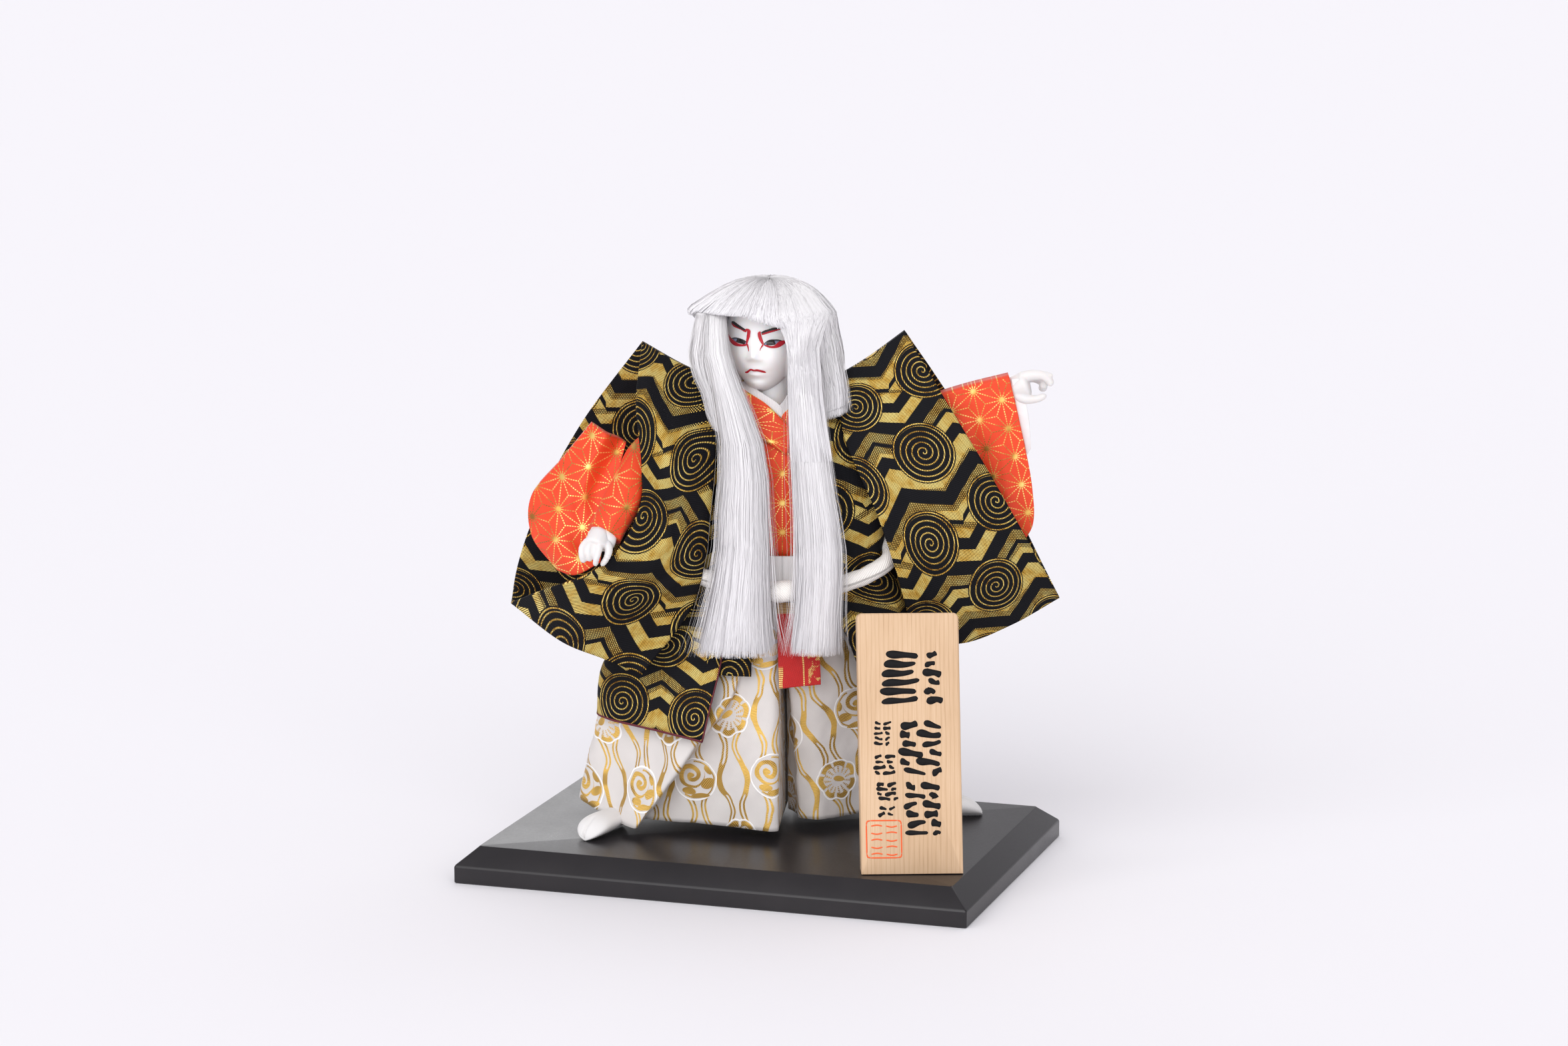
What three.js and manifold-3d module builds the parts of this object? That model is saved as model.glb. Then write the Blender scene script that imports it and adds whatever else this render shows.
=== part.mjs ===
// A kabuki lion-dance doll in real cloth and fibre hair, standing on a lacquered board beside a small
// wooden title board. Millimetres, +Z up. The origin is the middle of the board's underside.
// "Right" and "left" are the doll's own, so its right arm is on the viewer's left.
import * as THREE from "three";
import { mergeVertices } from "three/addons/utils/BufferGeometryUtils.js";
import Module from "manifold-3d";

const wasm = await Module();
wasm.setup();

// Driving dimensions.
const BOARD = { width: 240, depth: 164, side: 8, chamferIn: 9.2, chamferUp: 8 };
const BOARD_TOP = BOARD.side + BOARD.chamferUp;
const TITLE = { width: 45, height: 115.2, thick: 11, edge: 1.4 };
const TITLE_SPOT = { x: 66.4, front: -85, lean: 0.21, turn: 0.04, roll: -0.01 }; // angles in radians
const FIGURE_TURN = THREE.MathUtils.degToRad(17.9); // the doll faces this far round on its board
const GAP = 0.3; // air between neighbouring pieces
const CLOTH = 1.2; // lined brocade
const LINING = 0.8; // thin white cotton
const WAIST = 138; // height of the middle of the sash
const SASH_DEPTH = 18;
const HEM = 21; // height of the trouser hem
const COAT_HEM = 66; // height of the coat's lower edge
const SEWN = 1.8; // half the width of a sleeve's sewn edge
const HAIR_END = 101; // height where the front tresses are cut
const CROWN_TOP = 270;
const ROPE = 8; // diameter of the belt

// The doll's frame: X to the viewer's right, Y away from the viewer, Z up from the table.
const P = (x, y, z) => new THREE.Vector3(x, y, z);
const path = (...points) => {
  const line = new THREE.CatmullRomCurve3(points.map((p) => P(...p)), false, "centripetal");
  return (t) => line.getPoint(THREE.MathUtils.clamp(t, 0, 1));
};
const loop = (...points) => new THREE.CatmullRomCurve3(points.map((p) => P(...p)), true, "centripetal");
const mix = (a, b, t) => a.clone().lerp(b, t);
const smooth = (a, b, x) => THREE.MathUtils.smoothstep(x, a, b);
const steps = (n) => Array.from({ length: n + 1 }, (_, i) => i / n);
const around = (n) => Array.from({ length: n }, (_, i) => (i / n) * 2 * Math.PI);

// Solids and cuts.
function solidOf(geometry) {
  const bare = new THREE.BufferGeometry();
  bare.setAttribute("position", geometry.getAttribute("position"));
  if (geometry.index) bare.setIndex(geometry.index);
  const merged = mergeVertices(bare, 1e-4);
  const vertProperties = merged.attributes.position.array;
  const triVerts = new Uint32Array(merged.index.array);
  const solid = new wasm.Manifold(new wasm.Mesh({ numProp: 3, vertProperties, triVerts }));
  return solid.volume() < 0 ? solidOf(turnedOut(merged)) : solid;
}

function turnedOut(geometry) {
  const flipped = Array.from(geometry.index.array);
  for (let i = 0; i < flipped.length; i += 3) flipped.splice(i, 2, flipped[i + 1], flipped[i]);
  return geometry.clone().setIndex(flipped);
}

function geometryOf(solid) {
  const mesh = solid.getMesh();
  const geometry = new THREE.BufferGeometry();
  geometry.setAttribute("position", new THREE.BufferAttribute(mesh.vertProperties, 3));
  geometry.setIndex(new THREE.BufferAttribute(mesh.triVerts, 1));
  return geometry.toNonIndexed();
}

// The same body with its skin moved out, which leaves air round it when it is cut from a neighbour.
function swollen(solid, by = GAP) {
  const mesh = solid.getMesh();
  const geometry = new THREE.BufferGeometry();
  geometry.setAttribute("position", new THREE.BufferAttribute(mesh.vertProperties.slice(), 3));
  geometry.setIndex(new THREE.BufferAttribute(mesh.triVerts, 1));
  geometry.computeVertexNormals();
  const [at, out] = [geometry.attributes.position.array, geometry.attributes.normal.array];
  const vertProperties = at.map((value, i) => value + by * out[i]);
  return new wasm.Manifold(new wasm.Mesh({ numProp: 3, vertProperties, triVerts: mesh.triVerts }));
}

const largest = (solid) => solid.decompose().sort((a, b) => b.volume() - a.volume())[0];
const clearOf = (solid, ...others) =>
  largest(others.reduce((left, other) => left.subtract(swollen(other)), solid));
const joined = (...solids) => largest(solids.reduce((all, one) => all.add(one)));

// A closed body through rings that each have the same number of points. Each end is closed by a fan, or,
// where a ring runs out and back along a thin strip, by a ladder across the strip.
function lofted(rings, ends = "fan") {
  const n = rings[0].length;
  const position = rings.flat().flatMap((p) => [p.x, p.y, p.z]);
  const index = [];
  const bands = ends === "none" ? rings.length : rings.length - 1;
  for (let r = 0; r < bands; r++)
    for (let i = 0; i < n; i++) {
      const [a, b] = [r * n + i, r * n + ((i + 1) % n)];
      const [c, d] = [a, b].map((k) => (k + n) % (rings.length * n));
      index.push(a, b, d, a, d, c);
    }
  const last = (rings.length - 1) * n;
  const close = (start, a, b, c) => index.push(...(start === 0 ? [a, c, b] : [a, b, c]));
  for (const [ring, start] of ends === "fan" ? [[rings[0], 0], [rings.at(-1), last]] : []) {
    const middle = ring.reduce((sum, p) => sum.add(p), P(0, 0, 0)).divideScalar(n);
    const centre = position.length / 3;
    position.push(middle.x, middle.y, middle.z);
    for (let i = 0; i < n; i++) close(start, centre, start + i, start + ((i + 1) % n));
  }
  for (const start of ends === "ladder" ? [0, last] : [])
    for (let i = 0; i < n / 2 - 1; i++) {
      const [a, b, c, d] = [i, i + 1, n - 2 - i, n - 1 - i].map((k) => start + k);
      close(start, a, b, c);
      close(start, a, c, d);
    }
  const geometry = new THREE.BufferGeometry();
  geometry.setAttribute("position", new THREE.Float32BufferAttribute(position, 3));
  geometry.setIndex(index);
  return solidOf(geometry);
}

// An ellipse at a height.
const ellipse = (x, y, z, halfWidth, halfDepth, n = 20) =>
  around(n).map((a) => P(x + halfWidth * Math.cos(a), y + halfDepth * Math.sin(a), z));

// A surface patch between four edges: top and bottom run with u, start and end run with v.
const patch = (top, bottom, start, end) => (u, v) => {
  const ruled = mix(top(u), bottom(u), v).add(mix(start(v), end(v), u));
  const corners = mix(mix(top(0), top(1), u), mix(bottom(0), bottom(1), u), v);
  return ruled.sub(corners);
};

function normalAt(surface, u, v) {
  const h = 1e-3;
  const du = surface(Math.min(u + h, 1), v).sub(surface(Math.max(u - h, 0), v));
  const dv = surface(u, Math.min(v + h, 1)).sub(surface(u, Math.max(v - h, 0)));
  return du.cross(dv).normalize();
}

// A sheet of cloth as a closed solid, its thickness centred on the surface.
function sheet(surface, nu, nv, thick) {
  const rings = steps(nv).map((v) => {
    const sides = [0.5, -0.5].map((side) =>
      steps(nu).map((u) => surface(u, v).addScaledVector(normalAt(surface, u, v), side * thick)));
    return [...sides[0], ...sides[1].reverse()];
  });
  return lofted(rings, "ladder");
}

// A sewn sleeve: front and back patches share their top fold and bottom seam. grow moves its skin outwards.
function sleeveRings(front, back, nu, nv, grow, reach = 0) {
  const out = normalAt(front, 0.5, 0.5).y < 0 ? 1 : -1;
  return steps(nu).map((u) => {
    const ring = [
      ...steps(nv).map((v) => [front, u, v, out]),
      ...steps(nv).reverse().map((v) => [back, u, v, -out]),
    ].map(([face, s, t, side]) => face(s, t).addScaledVector(normalAt(face, s, t), side * grow));
    return reach && (u === 0 || u === 1) ? ring.map((p) => outwards(p, front, u, reach)) : ring;
  });
}

function outwards(point, surface, u, reach) {
  const along = surface(Math.min(u + 0.02, 1), 0.5).sub(surface(Math.max(u - 0.02, 0), 0.5)).normalize();
  return point.addScaledVector(along, u === 0 ? -reach : reach);
}

function sleeve(front, back, nu, nv, thick) {
  const outside = lofted(sleeveRings(front, back, nu, nv, 0));
  const inside = lofted(sleeveRings(front, back, nu, nv, -thick, 3));
  return outside.subtract(inside);
}

// A round bar along a line, with a radius that may change along it and rounded ends.
function bar(line, radius, n = 10, sides = 10) {
  const at = steps(n);
  const rings = at.map((t) => {
    const along = line(Math.min(t + 0.01, 1)).sub(line(Math.max(t - 0.01, 0))).normalize();
    const side = Math.abs(along.z) > 0.9 ? P(1, 0, 0) : P(0, 0, 1);
    const across = side.clone().cross(along).normalize();
    const over = along.clone().cross(across);
    const end = Math.sqrt(Math.max(0.12, 1 - Math.max(0, Math.abs(2 * t - 1) * 1.12 - 0.12) ** 8));
    return around(sides).map((a) =>
      line(t)
        .addScaledVector(across, Math.cos(a) * radius(t) * end)
        .addScaledVector(over, Math.sin(a) * radius(t) * end));
  });
  return lofted(rings);
}

const group = new THREE.Group();
const figure = new THREE.Group();
figure.rotation.z = FIGURE_TURN;
group.add(figure);

const COLOURS = {
  lacquer: [0x141014, 0.3, 0],
  wood: [0xd9b98c, 0.6, 0],
  skin: [0xf3efe9, 0.45, 0],
  hair: [0xe9e8ec, 0.5, 0],
  brocade: [0x6a5320, 0.5, 0.3],
  orange: [0xf0441c, 0.6, 0],
  cream: [0xd9d2cd, 0.65, 0],
  white: [0xf2f0ee, 0.8, 0],
  red: [0xc4160f, 0.7, 0],
};

function place(parent, name, finish, solid) {
  const [color, roughness, metalness] = COLOURS[finish];
  const mesh = new THREE.Mesh(
    geometryOf(solid),
    new THREE.MeshStandardMaterial({ color, roughness, metalness }),
  );
  mesh.name = name;
  parent.add(mesh);
  return mesh;
}

// The lacquered board: an upright side, then a broad chamfer up to the flat top.
function board() {
  const ring = (inset, z) =>
    [[-1, -1], [1, -1], [1, 1], [-1, 1]].map(([x, y]) =>
      P(x * (BOARD.width / 2 - inset), y * (BOARD.depth / 2 - inset), z));
  return lofted([ring(0, 0), ring(0, BOARD.side), ring(BOARD.chamferIn, BOARD_TOP)]);
}

// The title board leans back a little on its slanting foot. All its edges are eased.
function titleBoard() {
  const { width, height, thick, edge } = TITLE;
  const { x, front, lean, turn, roll } = TITLE_SPOT;
  const up = P(Math.sin(roll), Math.sin(lean), Math.cos(lean));
  const through = P(0, Math.cos(lean), -Math.sin(lean));
  const ring = (inset, along) => {
    const [w, d, e] = [width / 2 - inset, thick / 2 - inset, edge];
    const half = [[w - e, -d], [w, e - d], [w, d - e], [w - e, d]];
    const corners = [...half, ...half.map(([cx, cy]) => [-cx, -cy])];
    return corners.map(([cx, cy]) => {
      const rise = along === 0 ? Math.tan(lean) * cy : along;
      const point = P(cx, 0, 0).addScaledVector(through, cy + thick / 2).addScaledVector(up, rise);
      point.z = along === 0 ? 0 : point.z;
      return point.applyAxisAngle(P(0, 0, 1), turn).add(P(x, front, BOARD_TOP + GAP));
    });
  };
  return lofted([ring(0, 0), ring(0, height - edge), ring(edge, height)]);
}

// A foot in a white split-toed sock, from heel to toe, with the cleft beside the great toe.
function foot(heel, toe, cleftSide) {
  const along = P(toe[0] - heel[0], toe[1] - heel[1], 0);
  const length = along.length();
  along.normalize();
  const across = P(-along.y, along.x, 0);
  const floor = BOARD_TOP + GAP;
  const rounding = (t) => Math.sqrt(1 - Math.max(0, t * 1.55 - 0.6) ** 4);
  const halfWidth = (t) => (5.4 + 2.4 * smooth(0.1, 0.75, t)) * rounding(t);
  const height = (t) => 12.5 - 7.6 * smooth(0.2, 0.95, t);
  const rings = steps(8).map((t) => {
    const s = 0.02 + 0.96 * t;
    const middle = P(heel[0], heel[1], floor).addScaledVector(along, s * length);
    return around(12).map((a) => {
      const lift = (Math.sin(a) + 1) / 2;
      const flat = Math.pow(lift, 0.75) * height(s);
      return middle.clone().addScaledVector(across, Math.cos(a) * halfWidth(s)).add(P(0, 0, flat));
    });
  });
  const cleftStart = P(toe[0], toe[1], floor + 6.5).addScaledVector(across, cleftSide * 2.6);
  const cleft = bar((t) => cleftStart.clone().addScaledVector(along, -9 + 12 * t), () => 0.9, 2, 8);
  return largest(lofted(rings).subtract(cleft));
}

// One leg of the pleated divided trousers. Its outlines seen from above, from the waistband down, are
// joined by a smooth skin.
function trouserLeg(...outlines) {
  const count = 3 * outlines[0].length;
  const rings = outlines.map((points) => {
    const line = loop(...points);
    return Array.from({ length: count }, (_, i) => line.getPoint(i / count).toArray());
  });
  const seams = rings[0].map((_, i) => path(...rings.map((ring) => ring[i])));
  return lofted(steps(5).map((t) => seams.map((seam) => seam(t))));
}

const rightLeg = () =>
  trouserLeg(
    [[13, -10, 126], [6, -18, 126], [1, -18.8, 126], [-2, -18.6, 126], [-6, -17.6, 126], [-12, -13, 126],
      [-16, -3, 126], [-14, 8, 126], [-7, 16, 126], [2, 18, 126], [14, 10, 126]],
    [[12, -10, 88], [6, -23, 88], [0, -23.6, 88], [-6, -22.4, 88], [-11, -24.4, 88], [-40, -12, 88],
      [-66, 4, 88], [-52, 21, 88], [-28, 27, 88], [-4, 27, 88], [14, 14, 88]],
    [[12, -11, 58], [5, -26, 58], [-10, -24, 58], [-25, -18, 58], [-31, -26, 58], [-56, -6, 58],
      [-77.5, 9, 58], [-66, 29, 58], [-34, 35, 58], [-6, 34, 58], [16, 20, 58]],
    [[12, -12, HEM], [5, -27, HEM], [-18, -19, HEM], [-53, -7, HEM], [-60.5, -19.5, HEM],
      [-73, -3, HEM + 1.5], [-85, 12, HEM + 6], [-70, 34, HEM + 3], [-36, 39, HEM], [-6, 38, HEM],
      [16, 26, HEM]],
  );
const leftLeg = () =>
  trouserLeg(
    [[6, 4, 126], [12, -16, 126], [20, -18, 126], [29, -14, 126], [35, -2, 126], [31, 12, 126], [20, 18, 126],
      [8, 17, 126]],
    [[6, 6, 88], [12, -15, 88], [25, -17, 88], [42, -10, 88], [62, 4, 88], [58, 22, 88], [34, 28, 88],
      [9, 25, 88]],
    [[6, 8, 58], [14, -10, 58], [26, -11, 58], [44, -4, 58], [74, 10, 58], [68, 32, 58], [38, 38, 58],
      [10, 32, 58]],
    [[6, 12, HEM], [17, -5, HEM], [26, -8, HEM], [46, 5, HEM], [81, 17, HEM + 5], [76, 38, HEM + 3],
      [42, 44, HEM], [11, 38, HEM]],
  );

// One side of a slanting upright plane between the legs.
function besideMiddle(side) {
  const edge = (y) => 10 + y / 12 + (side * GAP) / 2;
  const ring = (z) => [P(edge(-60), -60, z), P(side * 130, -60, z), P(side * 130, 60, z), P(edge(60), 60, z)];
  return lofted([ring(10), ring(140)]);
}

// The torso in its orange kimono: a padded body, narrow at the waist and sloping at the shoulders.
function torso() {
  const levels = [
    [126.4, 10, 1, 25, 19], [136, 9, 1, 24, 18], [150, 9, 0, 25, 18], [175, 8, 0, 28, 18.5],
    [195, 7, 0, 31, 18], [206, 6, 0, 30, 16], [213, 5, 0, 22, 13], [217, 4, 0, 12, 10.5],
  ];
  return lofted(levels.map(([z, x, y, w, d]) => ellipse(x, y, z, w, d, 18)));
}

// The white under-collar: a band that rings the neck and crosses at the front.
function underCollar() {
  const upper = path([6.4, -15.2, 215.6], [-3, -9.4, 221], [-6.4, 1, 224.5], [4, 10.8, 226],
    [14.4, 1, 224.5], [12.4, -9.4, 220.4], [8, -15.2, 215]);
  const lower = path([6.4, -17.2, 210.6], [-7.6, -12.4, 216], [-10.8, 1, 219.5], [4, 15.2, 220],
    [18.8, 1, 219.5], [17, -12.4, 215.4], [8, -17.2, 210]);
  return sheet((u, v) => mix(upper(u), lower(u), v), 14, 1, LINING);
}

// The flat white sash that the kimono is tied with.
function sash() {
  const drum = (extra, halfDepth) =>
    lofted([-halfDepth, halfDepth].map((d) => ellipse(9, 0.5, WAIST + d, 26.4 + extra, 20.4 + extra, 28)));
  return drum(1.6, SASH_DEPTH / 2).subtract(drum(0, SASH_DEPTH / 2 + 1));
}

// The red sash end that hangs down the front, with its woven gold head.
function sashEnd() {
  const left = path([6.5, -23.6, 123], [6.8, -25, 108], [7.5, -26.6, 87]);
  const right = path([25, -22, 123], [25.6, -23.6, 108], [26.4, -25.6, 88.5]);
  return sheet((u, v) => mix(left(v), right(v), u), 3, 4, CLOTH);
}

// The rope belt: a thick cotton rope round the waist, over the coat, knotted at the front.
function rope() {
  const line = loop(
    [8, -27.6, 130], [-12, -28, 132.5], [-29.5, -26.2, 137.5], [-36.8, -12.5, 141.5], [-36.3, 8.5, 146],
    [-24.5, 25.5, 147], [8, 33, 147], [41, 27.2, 148], [60, 8.5, 149], [64.5, -8.5, 148], [57.5, -21, 144],
    [36, -27.8, 135.5], [20, -28, 131.5],
  );
  const count = 24;
  const rings = Array.from({ length: count }, (_, i) => {
    const t = i / count;
    const along = line.getTangent(t);
    const across = P(0, 0, 1).cross(along).normalize();
    const over = along.clone().cross(across);
    return around(8).map((a) =>
      line.getPoint(t)
        .addScaledVector(across, (Math.cos(a) * ROPE) / 2)
        .addScaledVector(over, (Math.sin(a) * ROPE) / 2));
  });
  const knot = bar(path([5, -28, 129.6], [9.4, -29, 129], [14, -28, 130]), () => 5.2, 4, 8);
  return joined(lofted(rings, "none"), knot);
}

// The head and neck, cast in one, with nose, brow, cheeks and chin in low relief. It looks a little to
// the doll's right.
const HEAD = { x: 0.8, y: -2, z: 243.5, halfWidth: 16.8, halfDepth: 17.4, halfHeight: 24.8, turn: 0.26 };
function headPoint(around, tilt) {
  const { x, y, z, halfWidth, halfDepth, halfHeight, turn } = HEAD;
  const across = Math.sin(around) * Math.cos(tilt);
  const ahead = Math.cos(around) * Math.cos(tilt);
  const up = Math.sin(tilt);
  const bump = (height, atX, atUp, spreadX, spreadUp) =>
    ahead > 0 ? height * Math.exp(-(((across - atX) / spreadX) ** 2) - ((up - atUp) / spreadUp) ** 2) : 0;
  const nose = bump(3.6, 0, -0.27, 0.11, 0.11) + bump(1.6, 0, -0.05, 0.09, 0.18);
  const mouthAndChin = bump(1.2, 0, -0.55, 0.2, 0.1) + bump(1.6, 0, -0.82, 0.24, 0.12);
  const eyes = bump(-0.9, 0.36, 0, 0.2, 0.08) + bump(-0.9, -0.36, 0, 0.2, 0.08);
  const jaw = 1 - 0.24 * smooth(0.1, 1, -up);
  const side = across * halfWidth * jaw;
  const front = ahead * halfDepth + nose + mouthAndChin + eyes;
  return P(
    x + side * Math.cos(turn) - front * Math.sin(turn),
    y - front * Math.cos(turn) - side * Math.sin(turn),
    z + up * halfHeight,
  );
}

function head() {
  const rings = steps(14).map((t) => {
    const tilt = Math.PI * (0.985 * (t - 0.5));
    return around(24).map((a) => headPoint(a, tilt));
  });
  const neck = lofted([
    ellipse(4, -1, 217 + GAP, 8.2, 8, 16),
    ellipse(3.4, -1, 226, 8, 7.8, 16),
    ellipse(1, 0, 240, 8.2, 8.2, 16),
  ]);
  return joined(lofted(rings), neck);
}

// The crown of the wig: a hollow dome that flares to a straight-cut fringe, open over the face.
function crown() {
  const shell = (levels) => lofted(levels.map(([z, x, y, w, d]) => ellipse(x, y, z, w, d, 22)));
  const dome = shell([
    [CROWN_TOP, 3, 3, 6, 6], [268.6, 2, 2, 13, 13], [265, 0.5, 1, 20, 20], [259.5, -1, 0, 27, 26.5],
    [254.5, -1.5, 0, 32, 30], [249, 0, 1, 31.5, 29.6], [238, 2, 3, 33.5, 28], [229, 3, 6, 34, 26],
  ]);
  const inside = shell([
    [269, HEAD.x, HEAD.y + 1, 6, 7], [264, HEAD.x, HEAD.y + 1, 13, 14], [256, HEAD.x, HEAD.y + 1, 17.4, 18.4],
    [243, HEAD.x, HEAD.y + 1, 18.6, 20], [227, 1.5, 2, 20.5, 20],
  ]);
  const faceWindow = lofted([
    [P(-19, -45, 200), P(15.5, -45, 200), P(15.5, -2, 200), P(-19, -2, 200)],
    [P(-19, -45, 255), P(15.5, -45, 252.5), P(15.5, -2, 252.5), P(-19, -2, 255)],
  ]);
  return largest(dome.subtract(inside).subtract(faceWindow));
}

// A bundle of hair as a flat lock: each level is [x, y, z, half width, half depth].
const lock = (...levels) => lofted(levels.map(([x, y, z, w, d]) => ellipse(x, y, z, w, d, 12)));

const sideLockRight = () =>
  lock([-24.6, -11, 228.6, 7.2, 5], [-24.2, -16, 220, 5.6, 4.6], [-24, -20, 213, 5, 4],
    [-23.6, -23, 207, 4.6, 3.4]);
const sideLockLeft = () =>
  lock([29, -8, 228.6, 8, 6], [32, -14, 221, 7.4, 5], [33, -18, 215, 7, 4.4], [33, -21, 209, 6.4, 3.8]);
const tressRight = () =>
  lock([-19.6, -21, 254, 4.4, 3], [-17.5, -27, 238, 6, 4], [-13, -29.4, 215, 9, 4.4],
    [-9.6, -32, 180, 12, 4.6], [-9.4, -34.5, 145, 15, 4.2], [-12, -34.5, HAIR_END, 18.6, 4.8]);
const tressLeft = () =>
  lock([17.5, -20, 252, 5, 3.4], [19, -25.6, 236, 6.8, 4.4], [20, -28.5, 212, 8.6, 4.6],
    [23, -31.6, 180, 10.6, 4.6], [25, -34.5, 145, 12.2, 4.2], [25.4, -34.5, HAIR_END + 1, 13, 4.8]);
const mane = () =>
  lock([2, 21, 228.6, 29, 10], [3, 29, 214, 32, 8.5], [4, 37, 196, 33, 8.4], [5, 42.6, 160, 33, 8.4],
    [6, 45.6, 125, 34, 8.6], [6, 49, 92, 35, 9]);

// The coat's body: open down the front, drawn in under the rope, flaring to the hem. Each level runs from
// the right front edge round the back to the left front edge.
function coatBody() {
  const flat = (z, ...spots) => spots.map(([x, y]) => [x, y, z]);
  const waist = (lift) =>
    [[-5, -22.6, 134], [-28.4, -17.5, 140], [-26.5, 16.5, 147], [8, 27, 148], [42, 18.5, 149],
      [56.4, -11.4, 147], [22, -22.8, 134]].map(([x, y, z]) => [x, y, z + lift]);
  const levels = [
    flat(219, [-17, -8.5], [-20, 1], [-17, 12], [3, 18.6], [22, 12], [26, 1], [23.6, -7.5]),
    flat(205, [-15, -18.6], [-32, -7], [-28, 16], [5, 22], [40, 16], [45, -9], [23, -19]),
    flat(175, [-9, -22], [-31, -12], [-30, 18], [7, 25], [44, 19], [54, -12], [21, -22]),
    waist(5),
    waist(-5),
    flat(118, [-14, -25.4], [-46, -20], [-44, 26], [8, 32], [52, 26], [67, -9], [34, -25]),
    flat(92, [-20.5, -31], [-71.5, 2], [-56, 31], [8, 39], [60, 33], [72, 0], [45, -20]),
    [[-27, -36, COAT_HEM - 1.5], [-75.6, 6, COAT_HEM + 2], [-60, 36, COAT_HEM], [8, 45, COAT_HEM],
      [70, 38, COAT_HEM], [80, 8, COAT_HEM], [54, -12, COAT_HEM]],
  ];
  const across = 18;
  const outlines = levels.map((spots) => path(...spots));
  const threads = steps(across).map((u) => path(...outlines.map((line) => line(u).toArray())));
  const surface = (u, v) => {
    const first = Math.min(across - 1, Math.floor(u * across));
    return mix(threads[first](v), threads[first + 1](v), u * across - first);
  };
  return sheet(surface, across, 9, CLOTH);
}

// The inner front panel of the coat, which is tucked up shorter than the rest.
function coatFront() {
  const outer = path([-22, -23.4, 129], [-24.5, -25.6, 112], [-25, -27.4, 93.5]);
  const inner = path([-4, -23, 129], [-4.6, -25.4, 112], [-5, -27.6, 92.5]);
  return sheet((u, v) => mix(outer(v), inner(v), u), 3, 3, CLOTH);
}

// A sleeve's corner, moved to the front or the back of its sewn edge.
const sewn = ([x, y, z], side) => [x, y + side * SEWN, z];

// The doll's right coat sleeve, thrown open round the lowered arm.
function rightSleevePatches() {
  const [neck, peak, inTip, corner] = [[-20, -3, 224], [-54, 0, 241], [-54, -28, 94], [-114, -10, 123]];
  const front = patch(
    path(sewn(neck, -1), sewn([-36, -2, 231], -1), sewn(peak, -1)),
    path(sewn(inTip, -1), [-72, -28, 101], [-90, -22, 107], sewn(corner, -1)),
    path(sewn(neck, -1), [-21, -24, 192], [-25, -31.4, 150], [-32, -32, 125], sewn(inTip, -1)),
    path(sewn(peak, -1), [-56, -24, 218], [-53, -40, 191], [-54, -47, 174], [-66, -54, 153], [-79, -50, 143],
      [-97, -36, 134], sewn(corner, -1)),
  );
  const back = patch(
    path(sewn(neck, 1), sewn([-36, -2, 231], 1), sewn(peak, 1)),
    path(sewn(inTip, 1), [-72, -16, 100], [-90, -10, 106], sewn(corner, 1)),
    path(sewn(neck, 1), [-34, 6, 192], [-39, 6, 160], [-44, -4, 130], sewn(inTip, 1)),
    path(sewn(peak, 1), [-80, 14, 203], [-101, 18, 173], [-112, 10, 140], sewn(corner, 1)),
  );
  return [front, back];
}

// The doll's left coat sleeve, hanging from the raised arm.
function leftSleevePatches() {
  const [neck, peak, inTip, corner] = [[32, -4, 225], [64, 0, 246], [68, -12, 107], [135, -3, 124]];
  const front = patch(
    path(sewn(neck, -1), sewn([47, -3, 234], -1), sewn(peak, -1)),
    path(sewn(inTip, -1), [90, -15, 105], [113, -12, 113], sewn(corner, -1)),
    path(sewn(neck, -1), [37, -21, 200], [52, -27, 165], [63.5, -24, 128], sewn(inTip, -1)),
    path(sewn(peak, -1), [82, -15, 217], [101, -20, 186], [119, -16, 154], sewn(corner, -1)),
  );
  const back = patch(
    path(sewn(neck, 1), sewn([47, -3, 234], 1), sewn(peak, 1)),
    path(sewn(inTip, 1), [90, 8, 106], [113, 6, 113], sewn(corner, 1)),
    path(sewn(neck, 1), [51, 7, 200], [54, 12, 165], [59, 8, 128], sewn(inTip, 1)),
    path(sewn(peak, 1), [85, 13, 214], [104, 15, 183], [121, 10, 151], sewn(corner, 1)),
  );
  return [front, back];
}

// The kimono's own sleeves: a pocket of cloth hanging from each forearm.
function rightKimonoSleeve() {
  const pocketFront = patch(
    path([-61, -30, 198], [-70, -27, 203], [-78, -20, 208]),
    path([-72, -43, 148], [-84, -38, 141], [-93, -30, 142]),
    path([-61, -30, 198], [-66, -38, 180], [-70, -44, 163], [-72, -43, 148]),
    path([-78, -20, 208], [-94, -17, 190], [-107, -16, 172], [-105, -20, 156], [-93, -30, 142]),
  );
  const fullness = (u, v) => Math.sin(Math.PI * u) * Math.sin(Math.PI * (0.1 + 0.8 * v));
  const pocket = thickened(pocketFront, 5, 7, (u, v) => 4 + 11 * fullness(u, v));
  const arm = path([-24, -2, 205], [-40, -7, 205], [-53, -19, 198], [-61, -35, 180], [-69, -47, 163]);
  const forearm = bar(arm, (t) => 10 - 1.6 * t, 6, 8);
  return joined(pocket, forearm);
}

// A filled bag behind a patch, as deep at each point as depth says.
function thickened(surface, nu, nv, depth) {
  const rings = steps(nv).map((v) => {
    const near = steps(nu).map((u) => surface(u, v));
    const far = steps(nu).map((u) => surface(u, v).add(P(0, depth(u, v), 0)));
    return [...near, ...far.reverse()];
  });
  return lofted(rings, "ladder");
}

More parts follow.
